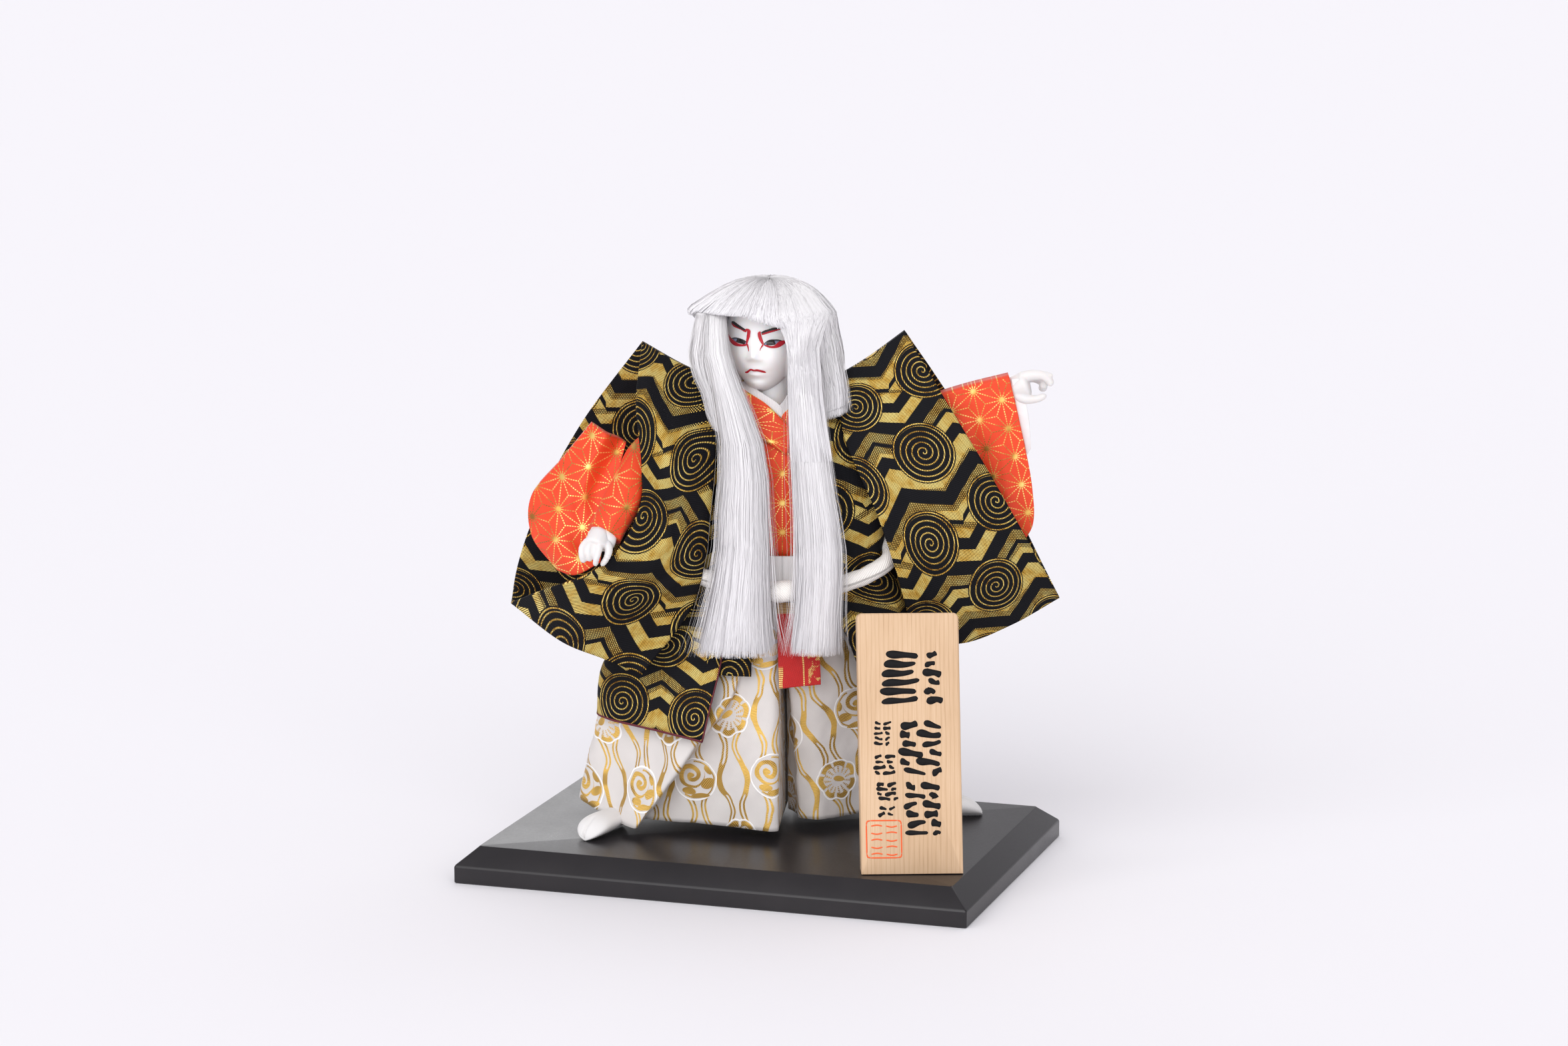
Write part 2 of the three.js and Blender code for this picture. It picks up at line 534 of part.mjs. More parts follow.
function leftKimonoSleeve() {
  const front = patch(
    path([72, -8, 219], [92, -9, 222], [111, -8, 226]),
    path([92, -6, 172], [106, -5, 156], [118, -4, 149]),
    path([72, -8, 219], [78, -8, 203], [86, -7, 186], [92, -6, 172]),
    path([111, -8, 226], [116, -8, 205], [122, -6, 175], [122.5, -5, 158], [118, -4, 149]),
  );
  const hanging = thickened(front, 5, 7, (u, v) => 5 + 9 * Math.exp(-((v / 0.28) ** 2)));
  const arm = bar(path([42, -1, 206], [56, -2, 209], [76, -2, 213], [92, -2, 215]), () => 7.6, 3, 8);
  return joined(hanging, arm);
}

// The white cotton sleeves that show at the wrists.
const rightCuff = () =>
  bar(path([-69.6, -48, 162], [-71.4, -51, 159], [-73, -53.6, 156.6]), () => 7.4, 2, 12);

function leftCuff() {
  const top = path([112.2, -7, 225], [114.6, -7, 225.4]);
  const bottom = path([122.4, -3, 178], [124, -3, 181]);
  const inner = path([112.2, -7, 225], [116.6, -6, 205], [122.4, -3, 178]);
  const outer = path([114.6, -7, 225.4], [120.5, -6, 205], [124, -3, 181]);
  return thickened(patch(top, bottom, inner, outer), 2, 8, () => 9);
}

// A finger or thumb through its joints.
const digit = (radius, ...joints) => bar(path(...joints), () => radius, 3, 6);

// The lowered hand: a loose fist, with the forefinger and thumb reaching down.
function rightHand() {
  const wrist = path([-71, -52, 162], [-74, -55, 157], [-75.5, -56, 154]);
  const palm = bar(wrist, (t) => 5.6 + 1.2 * Math.sin(Math.PI * t), 5, 8);
  const curled = [0, 1, 2].map((i) => {
    const [x, z, drop] = [-80.4 + 2.6 * i, 155 + 0.3 * i, 7.2 - 0.3 * i];
    return digit(1.75, [x, -57.5, z], [x + 0.24, -58.7, z - drop / 2], [x + 0.4, -57, z - drop]);
  });
  const fore = digit(1.7, [-72.8, -58.5, 154.5], [-73.2, -59.7, 150.2], [-73.4, -58, 145.9]);
  const thumb = digit(1.9, [-68.6, -56.5, 156], [-69.6, -57.7, 150.8], [-70.2, -56, 145.6]);
  return joined(palm, ...curled, fore, thumb);
}

// The raised hand: it points outwards, thumb and forefinger open like a C.
function leftHand() {
  const wrist = path([110.5, -2, 219.5], [115, -2, 220.5], [121, -2, 221.6]);
  const palm = bar(wrist, (t) => 5.2 + Math.sin(Math.PI * t), 5, 8);
  const fore = digit(1.9, [119, -3, 224.5], [125, -4, 226], [128.5, -4.5, 224.6], [132, -5, 224.4]);
  const curled = [0, 1, 2].map((i) => {
    const y = -0.9 + 2.45 * i;
    const knuckle = [120.2, y, 223.9 - 0.95 * i];
    return digit(1.8, knuckle, [127, y, 225 - 1.2 * i], [129, y, 221 - i], [126.5, y, 218 - i]);
  });
  const thumb = digit(2, [118, -5, 218.5], [122, -6, 216.4], [128, -6, 217.4]);
  return joined(palm, fore, ...curled, thumb);
}

// Assembly, from the pieces that keep their whole shape to the ones that make room for them.
const feet = { right: foot([-58, -8], [-87, -20.4], 1), left: foot([64, 17], [102, 17.6], -1) };
const hands = { right: rightHand(), left: leftHand() };
const skull = head();
const kimono = torso();
const belt = rope();
const collar = clearOf(underCollar(), kimono, skull);
const obi = clearOf(sash(), kimono);
const legs = {
  right: clearOf(rightLeg().intersect(besideMiddle(-1)), feet.right),
  left: clearOf(leftLeg().intersect(besideMiddle(1)), feet.left),
};
const hangingSash = sashEnd();
const sleeves = {
  right: clearOf(sleeve(...rightSleevePatches(), 7, 6, CLOTH), kimono, belt),
  left: clearOf(sleeve(...leftSleevePatches(), 6, 6, CLOTH), kimono, belt),
};
const cuffs = {
  right: clearOf(rightCuff(), hands.right, sleeves.right),
  left: clearOf(leftCuff(), hands.left, sleeves.left),
};
const kimonoSleeves = {
  right: clearOf(rightKimonoSleeve(), hands.right, cuffs.right, sleeves.right, kimono),
  left: clearOf(leftKimonoSleeve(), hands.left, cuffs.left, sleeves.left, kimono),
};
const underCoat = [belt, collar, kimonoSleeves.right, kimonoSleeves.left, legs.right, legs.left];
const coat = clearOf(coatBody(), ...underCoat, sleeves.right, sleeves.left).subtract(sleeves.left);
const innerFront = clearOf(coatFront(), belt, coat);
const wig = clearOf(crown(), skull, sleeves.right, sleeves.left);
const sideLocks = {
  right: clearOf(sideLockRight(), sleeves.right, coat, kimono),
  left: clearOf(sideLockLeft(), sleeves.left, coat, kimono),
};
const tresses = {
  right: clearOf(tressRight(), wig, skull, sideLocks.right, coat, collar, belt, sleeves.right).subtract(wig),
  left: clearOf(tressLeft(), wig, skull, sideLocks.left, coat, collar, belt),
};
const backHair = clearOf(mane(), wig, skull, coat, belt);

place(group, "base_board", "lacquer", board());
place(figure, "title_board", "wood", titleBoard());
place(figure, "foot_right", "white", feet.right);
place(figure, "foot_left", "white", feet.left);
place(figure, "trouser_leg_right", "cream", legs.right);
place(figure, "trouser_leg_left", "cream", legs.left);
place(figure, "kimono_body", "orange", kimono);
place(figure, "under_collar", "white", collar);
place(figure, "waist_sash", "white", obi);
place(figure, "sash_end", "red", hangingSash);
place(figure, "belt_rope", "white", belt);
place(figure, "coat_body", "brocade", coat);
place(figure, "coat_front_right", "brocade", innerFront);
place(figure, "coat_sleeve_right", "brocade", sleeves.right);
place(figure, "coat_sleeve_left", "brocade", sleeves.left);
place(figure, "kimono_sleeve_right", "orange", kimonoSleeves.right);
place(figure, "kimono_sleeve_left", "orange", kimonoSleeves.left);
place(figure, "cuff_right", "white", cuffs.right);
place(figure, "cuff_left", "white", cuffs.left);
place(figure, "hand_right", "skin", hands.right);
place(figure, "hand_left", "skin", hands.left);
place(figure, "head", "skin", skull);
place(figure, "hair_crown", "hair", wig);
place(figure, "hair_side_lock_right", "hair", sideLocks.right);
place(figure, "hair_side_lock_left", "hair", sideLocks.left);
place(figure, "hair_tress_right", "hair", tresses.right);
place(figure, "hair_tress_left", "hair", tresses.left);
place(figure, "hair_mane", "hair", backHair);

export default group;
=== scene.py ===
"""A kabuki lion-dance doll in cloth and fibre hair, on a lacquered board beside a wooden title board.

Pieces are made in the doll's own frame: millimetres, X to the viewer's right, Y away from the viewer, Z up.
"Right" and "left" are the doll's own, so its right arm is on the viewer's left.
"""
import math
from functools import reduce

import bmesh
import bpy
import numpy as np
from mathutils import Matrix, Vector
from mathutils.bvhtree import BVHTree


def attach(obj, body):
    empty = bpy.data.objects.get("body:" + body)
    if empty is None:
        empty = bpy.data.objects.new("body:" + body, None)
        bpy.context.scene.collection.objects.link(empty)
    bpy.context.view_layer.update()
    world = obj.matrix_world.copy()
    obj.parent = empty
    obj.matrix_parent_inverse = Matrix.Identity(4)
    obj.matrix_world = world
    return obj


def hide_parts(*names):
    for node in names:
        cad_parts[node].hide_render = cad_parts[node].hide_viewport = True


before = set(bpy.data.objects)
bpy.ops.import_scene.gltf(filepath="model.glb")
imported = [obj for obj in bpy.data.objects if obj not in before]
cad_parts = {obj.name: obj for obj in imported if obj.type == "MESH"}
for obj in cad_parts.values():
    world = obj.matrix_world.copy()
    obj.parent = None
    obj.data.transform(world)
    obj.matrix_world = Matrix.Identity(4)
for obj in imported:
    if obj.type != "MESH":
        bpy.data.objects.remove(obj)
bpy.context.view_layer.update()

# Driving sizes, as in the solids, in millimetres.
MM = 0.001
FIGURE_TURN = math.radians(17.9)
BOARD = {"width": 240, "depth": 164, "side": 8, "chamfer_in": 9.2, "chamfer_up": 8}
BOARD_TOP = BOARD["side"] + BOARD["chamfer_up"]
TITLE = {"width": 45, "height": 115.2, "thick": 11, "edge": 1.0, "corner": 2.6}
TITLE_SPOT = {"x": 66.4, "front": -85, "lean": 0.21, "turn": 0.04, "roll": -0.01}
GAP = 0.3
CLOTH = 1.2
WAIST = 138
SASH_DEPTH = 18
HEM = 21
COAT_HEM = 66
SEWN = 1.8
HAIR_END = 101
CROWN_TOP = 270
ROPE = 8

# The photograph's camera, in the row frame.
CAMERA_PLACE = (600.3, -1830.1, 526.2)
CAMERA_AZIMUTH = math.radians(17.87)
CAMERA_RISE = math.radians(10.83)
CAMERA_LENS = 99.13


# Lines and surfaces.


def path(*points, closed=False):
    """A smooth line through points, or through rows of points, with t from 0 to 1 in equal shares."""
    spots = np.array(points, float)
    count = len(spots) if closed else len(spots) - 1
    if closed:
        spots = np.concatenate([spots[-1:], spots, spots[:2]])
    else:
        first = 2 * spots[0] - spots[1]
        last = 2 * spots[-1] - spots[-2]
        spots = np.concatenate([first[None], spots, last[None]])

    def line(t):
        at = np.clip(np.asarray(t, float), 0, 1) * count
        k = np.minimum(at.astype(int), count - 1)
        w = (at - k).reshape(at.shape + (1,) * (spots.ndim - 1))
        a, b, c, d = (spots[k + i] for i in range(4))
        before, here, after = (
            np.maximum(np.sqrt(np.linalg.norm(q - p, axis=-1, keepdims=True)), 1e-4)
            for p, q in ((a, b), (b, c), (c, d))
        )
        leave = ((b - a) / before - (c - a) / (before + here) + (c - b) / here) * here
        reach = ((c - b) / here - (d - b) / (here + after) + (d - c) / after) * here
        cubic = 2 * b - 2 * c + leave + reach
        square = -3 * b + 3 * c - 2 * leave - reach
        return b + w * (leave + w * (square + w * cubic))

    return line


def mix(a, b, t):
    return a + (b - a) * t


def smooth(low, high, x):
    t = np.clip((np.asarray(x, float) - low) / (high - low), 0, 1)
    return t * t * (3 - 2 * t)


def patch(top, bottom, start, end):
    """A surface between four edges: top and bottom run with u, start and end run with v."""

    def surface(u, v):
        across, down = u[..., None], v[..., None]
        ruled = mix(top(u), bottom(u), down) + mix(start(v), end(v), across)
        corners = mix(mix(top(0), top(1), across), mix(bottom(0), bottom(1), across), down)
        return ruled - corners

    return surface


def grid(nu, nv):
    return np.meshgrid(np.linspace(0, 1, nu + 1), np.linspace(0, 1, nv + 1))


def circle(sides):
    return np.linspace(0, 2 * math.pi, sides, endpoint=False)


def unit(vectors):
    return vectors / np.maximum(np.linalg.norm(vectors, axis=-1, keepdims=True), 1e-9)


def normals(points):
    """Unit normals of a grid of points: across u cross down v."""
    return unit(np.cross(np.gradient(points, axis=1), np.gradient(points, axis=0)))


def ahead(distance):
    """A step along Y for each point of a grid."""
    return np.stack([0 * distance, distance, 0 * distance], axis=-1)


def row_lengths(points, anchor=0):
    """Arc length along each row, counted from one column."""
    steps = np.linalg.norm(np.diff(points, axis=1), axis=-1)
    total = np.concatenate([np.zeros((len(points), 1)), np.cumsum(steps, axis=1)], axis=1)
    return total - total[:, anchor:anchor + 1]


def column_lengths(points):
    return row_lengths(points.swapaxes(0, 1)).T


def ring_gradient(points):
    """Change along the first axis of a closed ring whose last row repeats its first."""
    body = points[:-1]
    change = (np.roll(body, -1, axis=0) - np.roll(body, 1, axis=0)) / 2
    return np.concatenate([change, change[:1]], axis=0)


def grain(x, y, angle, start=(0, 0)):
    """Cloth places from places across and up, with the grain turned by an angle about a starting spot."""
    x, y = x - start[0], y - start[1]
    cos, sin = math.cos(angle), math.sin(angle)
    return np.stack([x * cos + y * sin, y * cos - x * sin], axis=-1)


def turned(points, angle, start=(0, 0)):
    """Cloth places of a piece that is seen from the front."""
    return grain(points[..., 0], points[..., 2], angle, start)


def level(z, *spots):
    """Points at one height, from their x and y. A third number lifts a point above it."""
    return [(x, y, z + sum(rise)) for x, y, *rise in spots]


def drift(seed, x, y, size):
    """Smooth unevenness from -1 to 1 over two coordinates, with features about size across."""
    r = np.random.default_rng(seed)
    total = np.zeros(np.broadcast(x, y).shape)
    for octave in range(3):
        for _ in range(4):
            angle, phase = r.uniform(0, 2 * math.pi, 2)
            rate = 2 * math.pi / size * 1.9**octave * r.uniform(0.7, 1.3)
            total += np.sin(rate * (x * math.cos(angle) + y * math.sin(angle)) + phase) / 1.8**octave
    return total / 5


def crease(x, y, start, end, width):
    """A ridge from 0 to 1 along the straight line between two spots, dying away at its ends."""
    (ax, ay), (bx, by) = start, end
    length = math.hypot(bx - ax, by - ay)
    ux, uy = (bx - ax) / length, (by - ay) / length
    along = ((x - ax) * ux + (y - ay) * uy) / length
    off = (x - ax) * uy - (y - ay) * ux
    ends = smooth(0, 0.25, along) * smooth(1, 0.75, along)
    return np.exp(-((off / width) ** 2)) * ends


# Meshes.


def placed(points):
    """From the doll's own frame in millimetres to the row frame in metres."""
    points = np.asarray(points, float)
    cos, sin = math.cos(FIGURE_TURN), math.sin(FIGURE_TURN)
    x = points[..., 0] * cos - points[..., 1] * sin
    y = points[..., 0] * sin + points[..., 1] * cos
    return np.stack([x, y, points[..., 2]], axis=-1) * MM


def mesh_of(name, points, *faces, uv=None):
    """A smooth-shaded mesh from points and arrays of faces. uv holds the place of each point on the cloth."""
    points = np.asarray(points, float).reshape(-1, 3)
    corners = np.concatenate([np.ravel(part) for part in faces]).astype(np.int32)
    counts = np.concatenate([np.full(len(part), len(part[0])) for part in faces])
    mesh = bpy.data.meshes.new(name)
    mesh.vertices.add(len(points))
    mesh.vertices.foreach_set("co", points.astype(np.float32).ravel())
    mesh.loops.add(len(corners))
    mesh.loops.foreach_set("vertex_index", corners)
    mesh.polygons.add(len(counts))
    mesh.polygons.foreach_set("loop_start", np.concatenate([[0], np.cumsum(counts)[:-1]]).astype(np.int32))
    mesh.polygons.foreach_set("use_smooth", np.ones(len(counts), bool))
    if uv is not None:
        places = np.asarray(uv, float).reshape(-1, 2)[corners]
        mesh.uv_layers.new(name="cloth").data.foreach_set("uv", places.astype(np.float32).ravel())
    mesh.update(calc_edges=True)
    mesh.validate()
    return mesh


def piece(name, mesh, materials, slot, *nodes):
    """Puts a mesh into the scene as one piece that stands for its CAD nodes."""
    item = bpy.data.objects.new(name, mesh)
    bpy.context.scene.collection.objects.link(item)
    for material in materials if isinstance(materials, (list, tuple)) else [materials]:
        mesh.materials.append(material)
    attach(item, "root")
    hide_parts(*nodes)
    return item


def sheet(item, wide, long, held, on, area=None):
    """Takes a piece and its cut size in millimetres and square millimetres; it declares nothing, and they are
    not used.
    """
    if area:
        area *= MM * MM


def strip_faces(rows, cols, start=0, wrap=False, flip=False):
    """Quads over a grid of points that are numbered row by row."""
    r, c = np.meshgrid(np.arange(rows - 1), np.arange(cols if wrap else cols - 1), indexing="ij")
    a = r * cols + c
    b = r * cols + (c + 1) % cols
    quads = np.stack([a, b, b + cols, a + cols], axis=-1).reshape(-1, 4) + start
    return quads[:, ::-1] if flip else quads


def shell(name, near, far, uv_near, uv_far):
    """A closed body between two grids of points whose edges are joined."""
    rows, cols = near.shape[:2]
    count = rows * cols
    number = np.arange(count).reshape(rows, cols)
    edge = np.concatenate([number[0, :-1], number[:-1, -1], number[-1, :0:-1], number[:0:-1, 0]])
    after = np.roll(edge, -1)
    rim = np.stack([edge, edge + count, after + count, after], axis=-1)
    points = np.concatenate([near.reshape(-1, 3), far.reshape(-1, 3)])
    uv = np.concatenate([uv_near.reshape(-1, 2), uv_far.reshape(-1, 2)])
    faces = strip_faces(rows, cols), strip_faces(rows, cols, count, flip=True), rim
    return turn_out(mesh_of(name, placed(points), *faces, uv=uv))


def cloth(name, points, uv, thick=CLOTH):
    """A lined sheet: an outer and an inner layer, joined all round."""
    lift = normals(points) * thick / 2
    return shell(name, points + lift, points - lift, uv, uv)


def rings_along(middle, along, guide, radius, sides):
    """Rings of points round a line. Each starts square to the line and to guide."""
    across = unit(np.cross(guide, along))
    over = np.cross(along, across)
    a = circle(sides)[None, :, None]
    return middle[:, None] + (across[:, None] * np.cos(a) + over[:, None] * np.sin(a)) * radius


def tube(line, radius, count, sides):
    """Rings along a line, with a radius that changes along it."""
    t = np.linspace(0, 1, count)
    middle = line(t)
    along = unit(np.gradient(middle, axis=0))
    guide = np.where(np.abs(along[:, 2:]) > 0.9, [[1.0, 0, 0]], [[0, 0, 1.0]])
    return rings_along(middle, along, guide, radius(t)[:, None, None], sides)


def capped(rings):
    """Rings joined into a closed tube: each end is closed round a middle point."""
    rows, cols = rings.shape[:2]
    points = np.concatenate([rings.reshape(-1, 3), rings[:1].mean(axis=1), rings[-1:].mean(axis=1)])
    every = np.arange(cols)
    after = (every + 1) % cols
    count, last = rows * cols, (rows - 1) * cols
    first_cap = np.stack([after, every, np.full(cols, count)], axis=-1)
    last_cap = np.stack([last + every, last + after, np.full(cols, count + 1)], axis=-1)
    return points, strip_faces(rows, cols, wrap=True), np.concatenate([first_cap, last_cap])


def edited(mesh, change):
    """Makes one change to a mesh."""
    bm = bmesh.new()
    bm.from_mesh(mesh)
    change(bm)
    bm.to_mesh(mesh)
    bm.free()
    return mesh


def turn_out(mesh):
    return edited(mesh, lambda bm: bmesh.ops.recalc_face_normals(bm, faces=bm.faces))


def weld(mesh):
    return edited(mesh, lambda bm: bmesh.ops.remove_doubles(bm, verts=bm.verts, dist=1e-6))


def merge(mesh, part, material=0):
    """Adds one mesh to another, keeping its cloth coordinates."""
    part.polygons.foreach_set("material_index", np.full(len(part.polygons), material, np.int32))
    edited(mesh, lambda bm: bm.from_mesh(part))
    bpy.data.meshes.remove(part)


def add_tube(mesh, rings, material=0, flat=None):
    """Adds a closed tube to a mesh. flat gives its cloth places; without it they follow from where it is."""
    points, *faces = capped(rings)
    spots = placed(points)
    uv = flat(points) if flat else np.stack([spots[:, 0] + spots[:, 1], spots[:, 2]], axis=-1) / MM
    merge(mesh, mesh_of("part", spots, *faces, uv=uv), material)


# Materials.


class Field:
    """A number that varies over a surface: a shader socket that arithmetic can be done with."""

    def __init__(self, tree, socket):
        self.tree = tree
        self.socket = socket

    def __add__(self, other):
        return calc("ADD", self, other)

    def __mul__(self, other):
        return calc("MULTIPLY", self, other)

    __radd__ = __add__
    __rmul__ = __mul__

    def __sub__(self, other):
        return calc("SUBTRACT", self, other)

    def __rsub__(self, other):
        return calc("SUBTRACT", other, self)

    def __truediv__(self, other):
        return calc("DIVIDE", self, other)

    def __mod__(self, other):
        return calc("FLOORED_MODULO", self, other)

    def __abs__(self):
        return calc("ABSOLUTE", self)

    def __neg__(self):
        return calc("MULTIPLY", self, -1.0)


def calc(operation, *values, clamp=False):
    tree = next(v.tree for v in values if isinstance(v, Field))
    node = tree.nodes.new("ShaderNodeMath")
    node.operation = operation
    node.use_clamp = clamp
    for socket, value in zip(node.inputs, values):
        connect(tree, value, socket)
    return Field(tree, node.outputs[0])


def connect(tree, value, socket):
    if isinstance(value, Field):
        tree.links.new(value.socket, socket)
    else:
        socket.default_value = value


def least(*values):
    return reduce(lambda a, b: calc("MINIMUM", a, b), values)


def most(*values):
    return reduce(lambda a, b: calc("MAXIMUM", a, b), values)


def inside(distance, soft=0.12):
    """1 where distance is above zero and 0 where it is below, with a soft edge."""
    return calc("MULTIPLY_ADD", distance, 1 / (2 * soft), 0.5, clamp=True)


def length(x, y):
    return calc("SQRT", x * x + y * y)


def wave(value, pitch):
    """0 to 1 and back once every pitch millimetres."""
    return calc("SINE", value * (2 * math.pi / pitch)) * 0.5 + 0.5


class Finish:
    """A material under construction. Sizes are in millimetres."""

    def __init__(self, name, **values):
        self.material = bpy.data.materials.new(name)
        self.material.use_nodes = True
        self.tree = self.material.node_tree
        self.shader = self.tree.nodes["Principled BSDF"]
        for key, value in values.items():
            self.shader.inputs[key.replace("_", " ").title().replace("Ior", "IOR")].default_value = value

    def new(self, kind, **settings):
        node = self.tree.nodes.new("ShaderNode" + kind)
        for key, value in settings.items():
            setattr(node, key, value)
        return node

    def split(self, socket):
        node = self.new("SeparateXYZ")
        self.tree.links.new(socket, node.inputs[0])
        return [Field(self.tree, output) for output in node.outputs]

    def cloth(self):
        """The cloth's own coordinates in millimetres: across the weft and up the warp."""
        return self.split(self.new("UVMap", uv_map="cloth").outputs[0])[:2]

    def place(self):
        """The place in the row frame, in millimetres."""
        return [value * (1 / MM) for value in self.split(self.new("TexCoord").outputs["Object"])]

    def noise(self, x, y, z=0.0, size=1.0, detail=3.0):
        """Cloudy unevenness from 0 to 1 with features about size across."""
        spot = self.new("CombineXYZ")
        for value, socket in zip((x, y, z), spot.inputs):
            connect(self.tree, value, socket)
        node = self.new("TexNoise")
        self.tree.links.new(spot.outputs[0], node.inputs["Vector"])
        for name, value in (("Scale", 1 / size), ("Detail", detail), ("Roughness", 0.55)):
            node.inputs[name].default_value = value
        return Field(self.tree, node.outputs["Fac"])

    def ramp(self, value, *stops):
        """A colour that runs through (position, colour) stops."""
        node = self.new("ValToRGB")
        elements = node.color_ramp.elements
        for _ in stops[2:]:
            elements.new(0.5)
        for element, (spot, colour) in zip(elements, stops):
            element.position = spot
            element.color = (*colour, 1)
        connect(self.tree, value, node.inputs[0])
        return Field(self.tree, node.outputs[0])

    def blend(self, share, low, high):
        """Colour low where share is 0, and high where it is 1."""
        node = self.new("Mix", data_type="RGBA", clamp_factor=True)
        connect(self.tree, share, node.inputs["Factor"])
        sockets = [socket for socket in node.inputs if socket.type == "RGBA"]
        for value, socket in zip((low, high), sockets):
            connect(self.tree, value if isinstance(value, Field) else (*value, 1), socket)
        return Field(self.tree, next(socket for socket in node.outputs if socket.type == "RGBA"))

    def made(self, colour, roughness=None, metallic=None, relief=None):
        """The material, with what varies over it. relief is (height, rise, strength): height runs from 0 to 1
        for rise millimetres."""
        for name, value in (("Base Color", colour), ("Roughness", roughness), ("Metallic", metallic)):
            if value is not None:
                self.tree.links.new(value.socket, self.shader.inputs[name])
        if relief:
            height, rise, strength = relief
            node = self.new("Bump")
            node.inputs["Strength"].default_value = strength
            node.inputs["Distance"].default_value = rise * MM
            self.tree.links.new(height.socket, node.inputs["Height"])
            self.tree.links.new(node.outputs[0], self.shader.inputs["Normal"])
        return self.material


BLACK_THREAD = (0.002, 0.002, 0.003)
BLACK_GLEAM = (0.015, 0.015, 0.019)
GOLD_THREAD = (0.88, 0.50, 0.06)
GOLD_SHADE = (0.18, 0.065, 0.004)
# A pale gold that the brocade takes as a painted highlight.
GOLD_PAINTED_HIGHLIGHT = (1.0, 0.82, 0.28)
STEP_ACROSS, STEP_DROP = 32.0, 39.7
STEP_SLOPE = math.atan2(STEP_DROP / 2, STEP_ACROSS)
ROUNDEL, ROUNDEL_PITCH = 14.0, 2.55


def brocade():
    """Black and gold: spiral roundels on a half-drop lattice, over stepped bands that climb to one side."""
    f = Finish("coat brocade", specular_ior_level=0.12)
    x, y = f.cloth()
    across, drop = STEP_ACROSS, STEP_DROP
    climb = drop / 2
    steep = climb / 12
    turn = math.hypot(1, steep)
    # Roundels: the nearest one in the nearest column.
    column = calc("ROUND", x / across)
    dx = x - column * across
    dy = (y - column * climb + drop / 2) % drop - drop / 2
    r = length(dx, dy)
    angle = calc("ARCTAN2", dy, dx) / (2 * math.pi)
    turns = (r / ROUNDEL_PITCH - angle) % 1.0
    spiral = inside(0.095 - abs(turns - 0.5), 0.06) * inside(ROUNDEL - 1.8 - r)
    ring = inside(0.28 - abs(r - (ROUNDEL - 0.8)), 0.08)
    disc = inside(ROUNDEL - r)

    # Bands: how far each spot lies above the line of steps, measured across the band.
    def steps(shift, height):
        k = calc("FLOOR", (x + shift) / across)
        u = x + shift - (k + 0.5) * across
        up = (y - k * climb - height + 20) % (2 * drop) - 20
        slant = (up - u * steep) / turn
        return least(most(slant, up - climb / 2), up + climb / 2)

    first = steps(0.0, 1.5 * climb)
    second = steps(across / 2, 3 * climb)
    stripes = ((first, 0, 6), (first, 13.2, 5), (first, 21.3, 1.9),
               (second, 0, 6), (second, 10.4, 5), (second, 19.4, 1.9))
    bands = most(*(inside(width / 2 - abs(value - middle)) for value, middle, width in stripes))
    gold_ground = (1 - bands) * (1 - disc)
    gold_lines = most(spiral, ring) * disc
    # Threads: fine slanting ribs in the gold, dots where it is darker, and a grain in the black.
    rib = wave(x * 0.35 + y, 0.62)
    dots = wave(x + y * 0.5, 0.8) * wave(x - y * 0.5, 0.8)
    dotted = inside(wave(first + f.noise(x, y, size=60, detail=0.0) * 14, 26) - 0.62, 0.05)
    threads = mix(rib, dots * 1.2 - 0.12, dotted)
    grit = wave(x + y * 0.6, 0.7) * wave(x * 0.4 - y, 0.9)
    stitches = wave(x * 1.7 + y * 0.3, 1.25)
    gold = most(gold_ground * inside(threads - 0.3, 0.25), gold_lines * inside(stitches - 0.24, 0.16))
    cloud = f.noise(x, y, size=9.0)
    # A noise paints the gold in patches: painted highlight up to a pale gold, painted shade towards a dark
    # gold.
    painted_glint = f.noise(x + y * 0.5, y, 2.0, size=5.5, detail=2.0)
    gold_painted_light = threads * 0.4 + painted_glint * 0.95
    gold_colour = f.ramp(gold_painted_light, (0.34, GOLD_SHADE), (0.62, GOLD_THREAD), (0.88, GOLD_PAINTED_HIGHLIGHT))
    black_colour = f.blend(grit * 0.6 + cloud * 0.3, BLACK_THREAD, BLACK_GLEAM)
    colour = f.blend(gold, black_colour, gold_colour)
    height = threads * gold_ground * 0.7 + gold_lines * 0.9 + grit * 0.3
    return f.made(colour, 0.66 - gold * 0.30 + cloud * 0.1, gold * 0.22, (height, 0.26, 0.9))


def plain(name, colour, other, size=0.5, roughness=0.8):
    """A plain woven cloth of two close shades."""
    f = Finish(name)
    x, y = f.cloth()
    weave = wave(x, size) * wave(y, size) + wave(x + size / 2, size) * wave(y + size / 2, size)
    cloud = f.noise(x, y, size=6.0)
    colour = f.blend(weave * 0.5 + cloud * 0.5, other, colour)
    return f.made(colour, roughness + cloud * 0.1, relief=(weave, 0.05, 0.6))


def paint(name, size, low, high, roughness, spread, **values):
    """A brushed colour, clouded between two shades."""
    f = Finish(name, **values)
    cloud = f.noise(*f.place(), size=size)
    return f.made(f.blend(cloud, low, high), roughness + cloud * spread)


def lacquer():
    f = Finish("black lacquer", specular_ior_level=0.42)
    spot = f.place()
    cloud = f.noise(*spot, size=30.0)
    fine = f.noise(*spot, size=1.1, detail=4.0)
    colour = f.blend(cloud, (0.008, 0.007, 0.009), (0.02, 0.017, 0.019))
    return f.made(colour, 0.2 + cloud * 0.12 + fine * 0.1, relief=(fine, 0.02, 0.5))


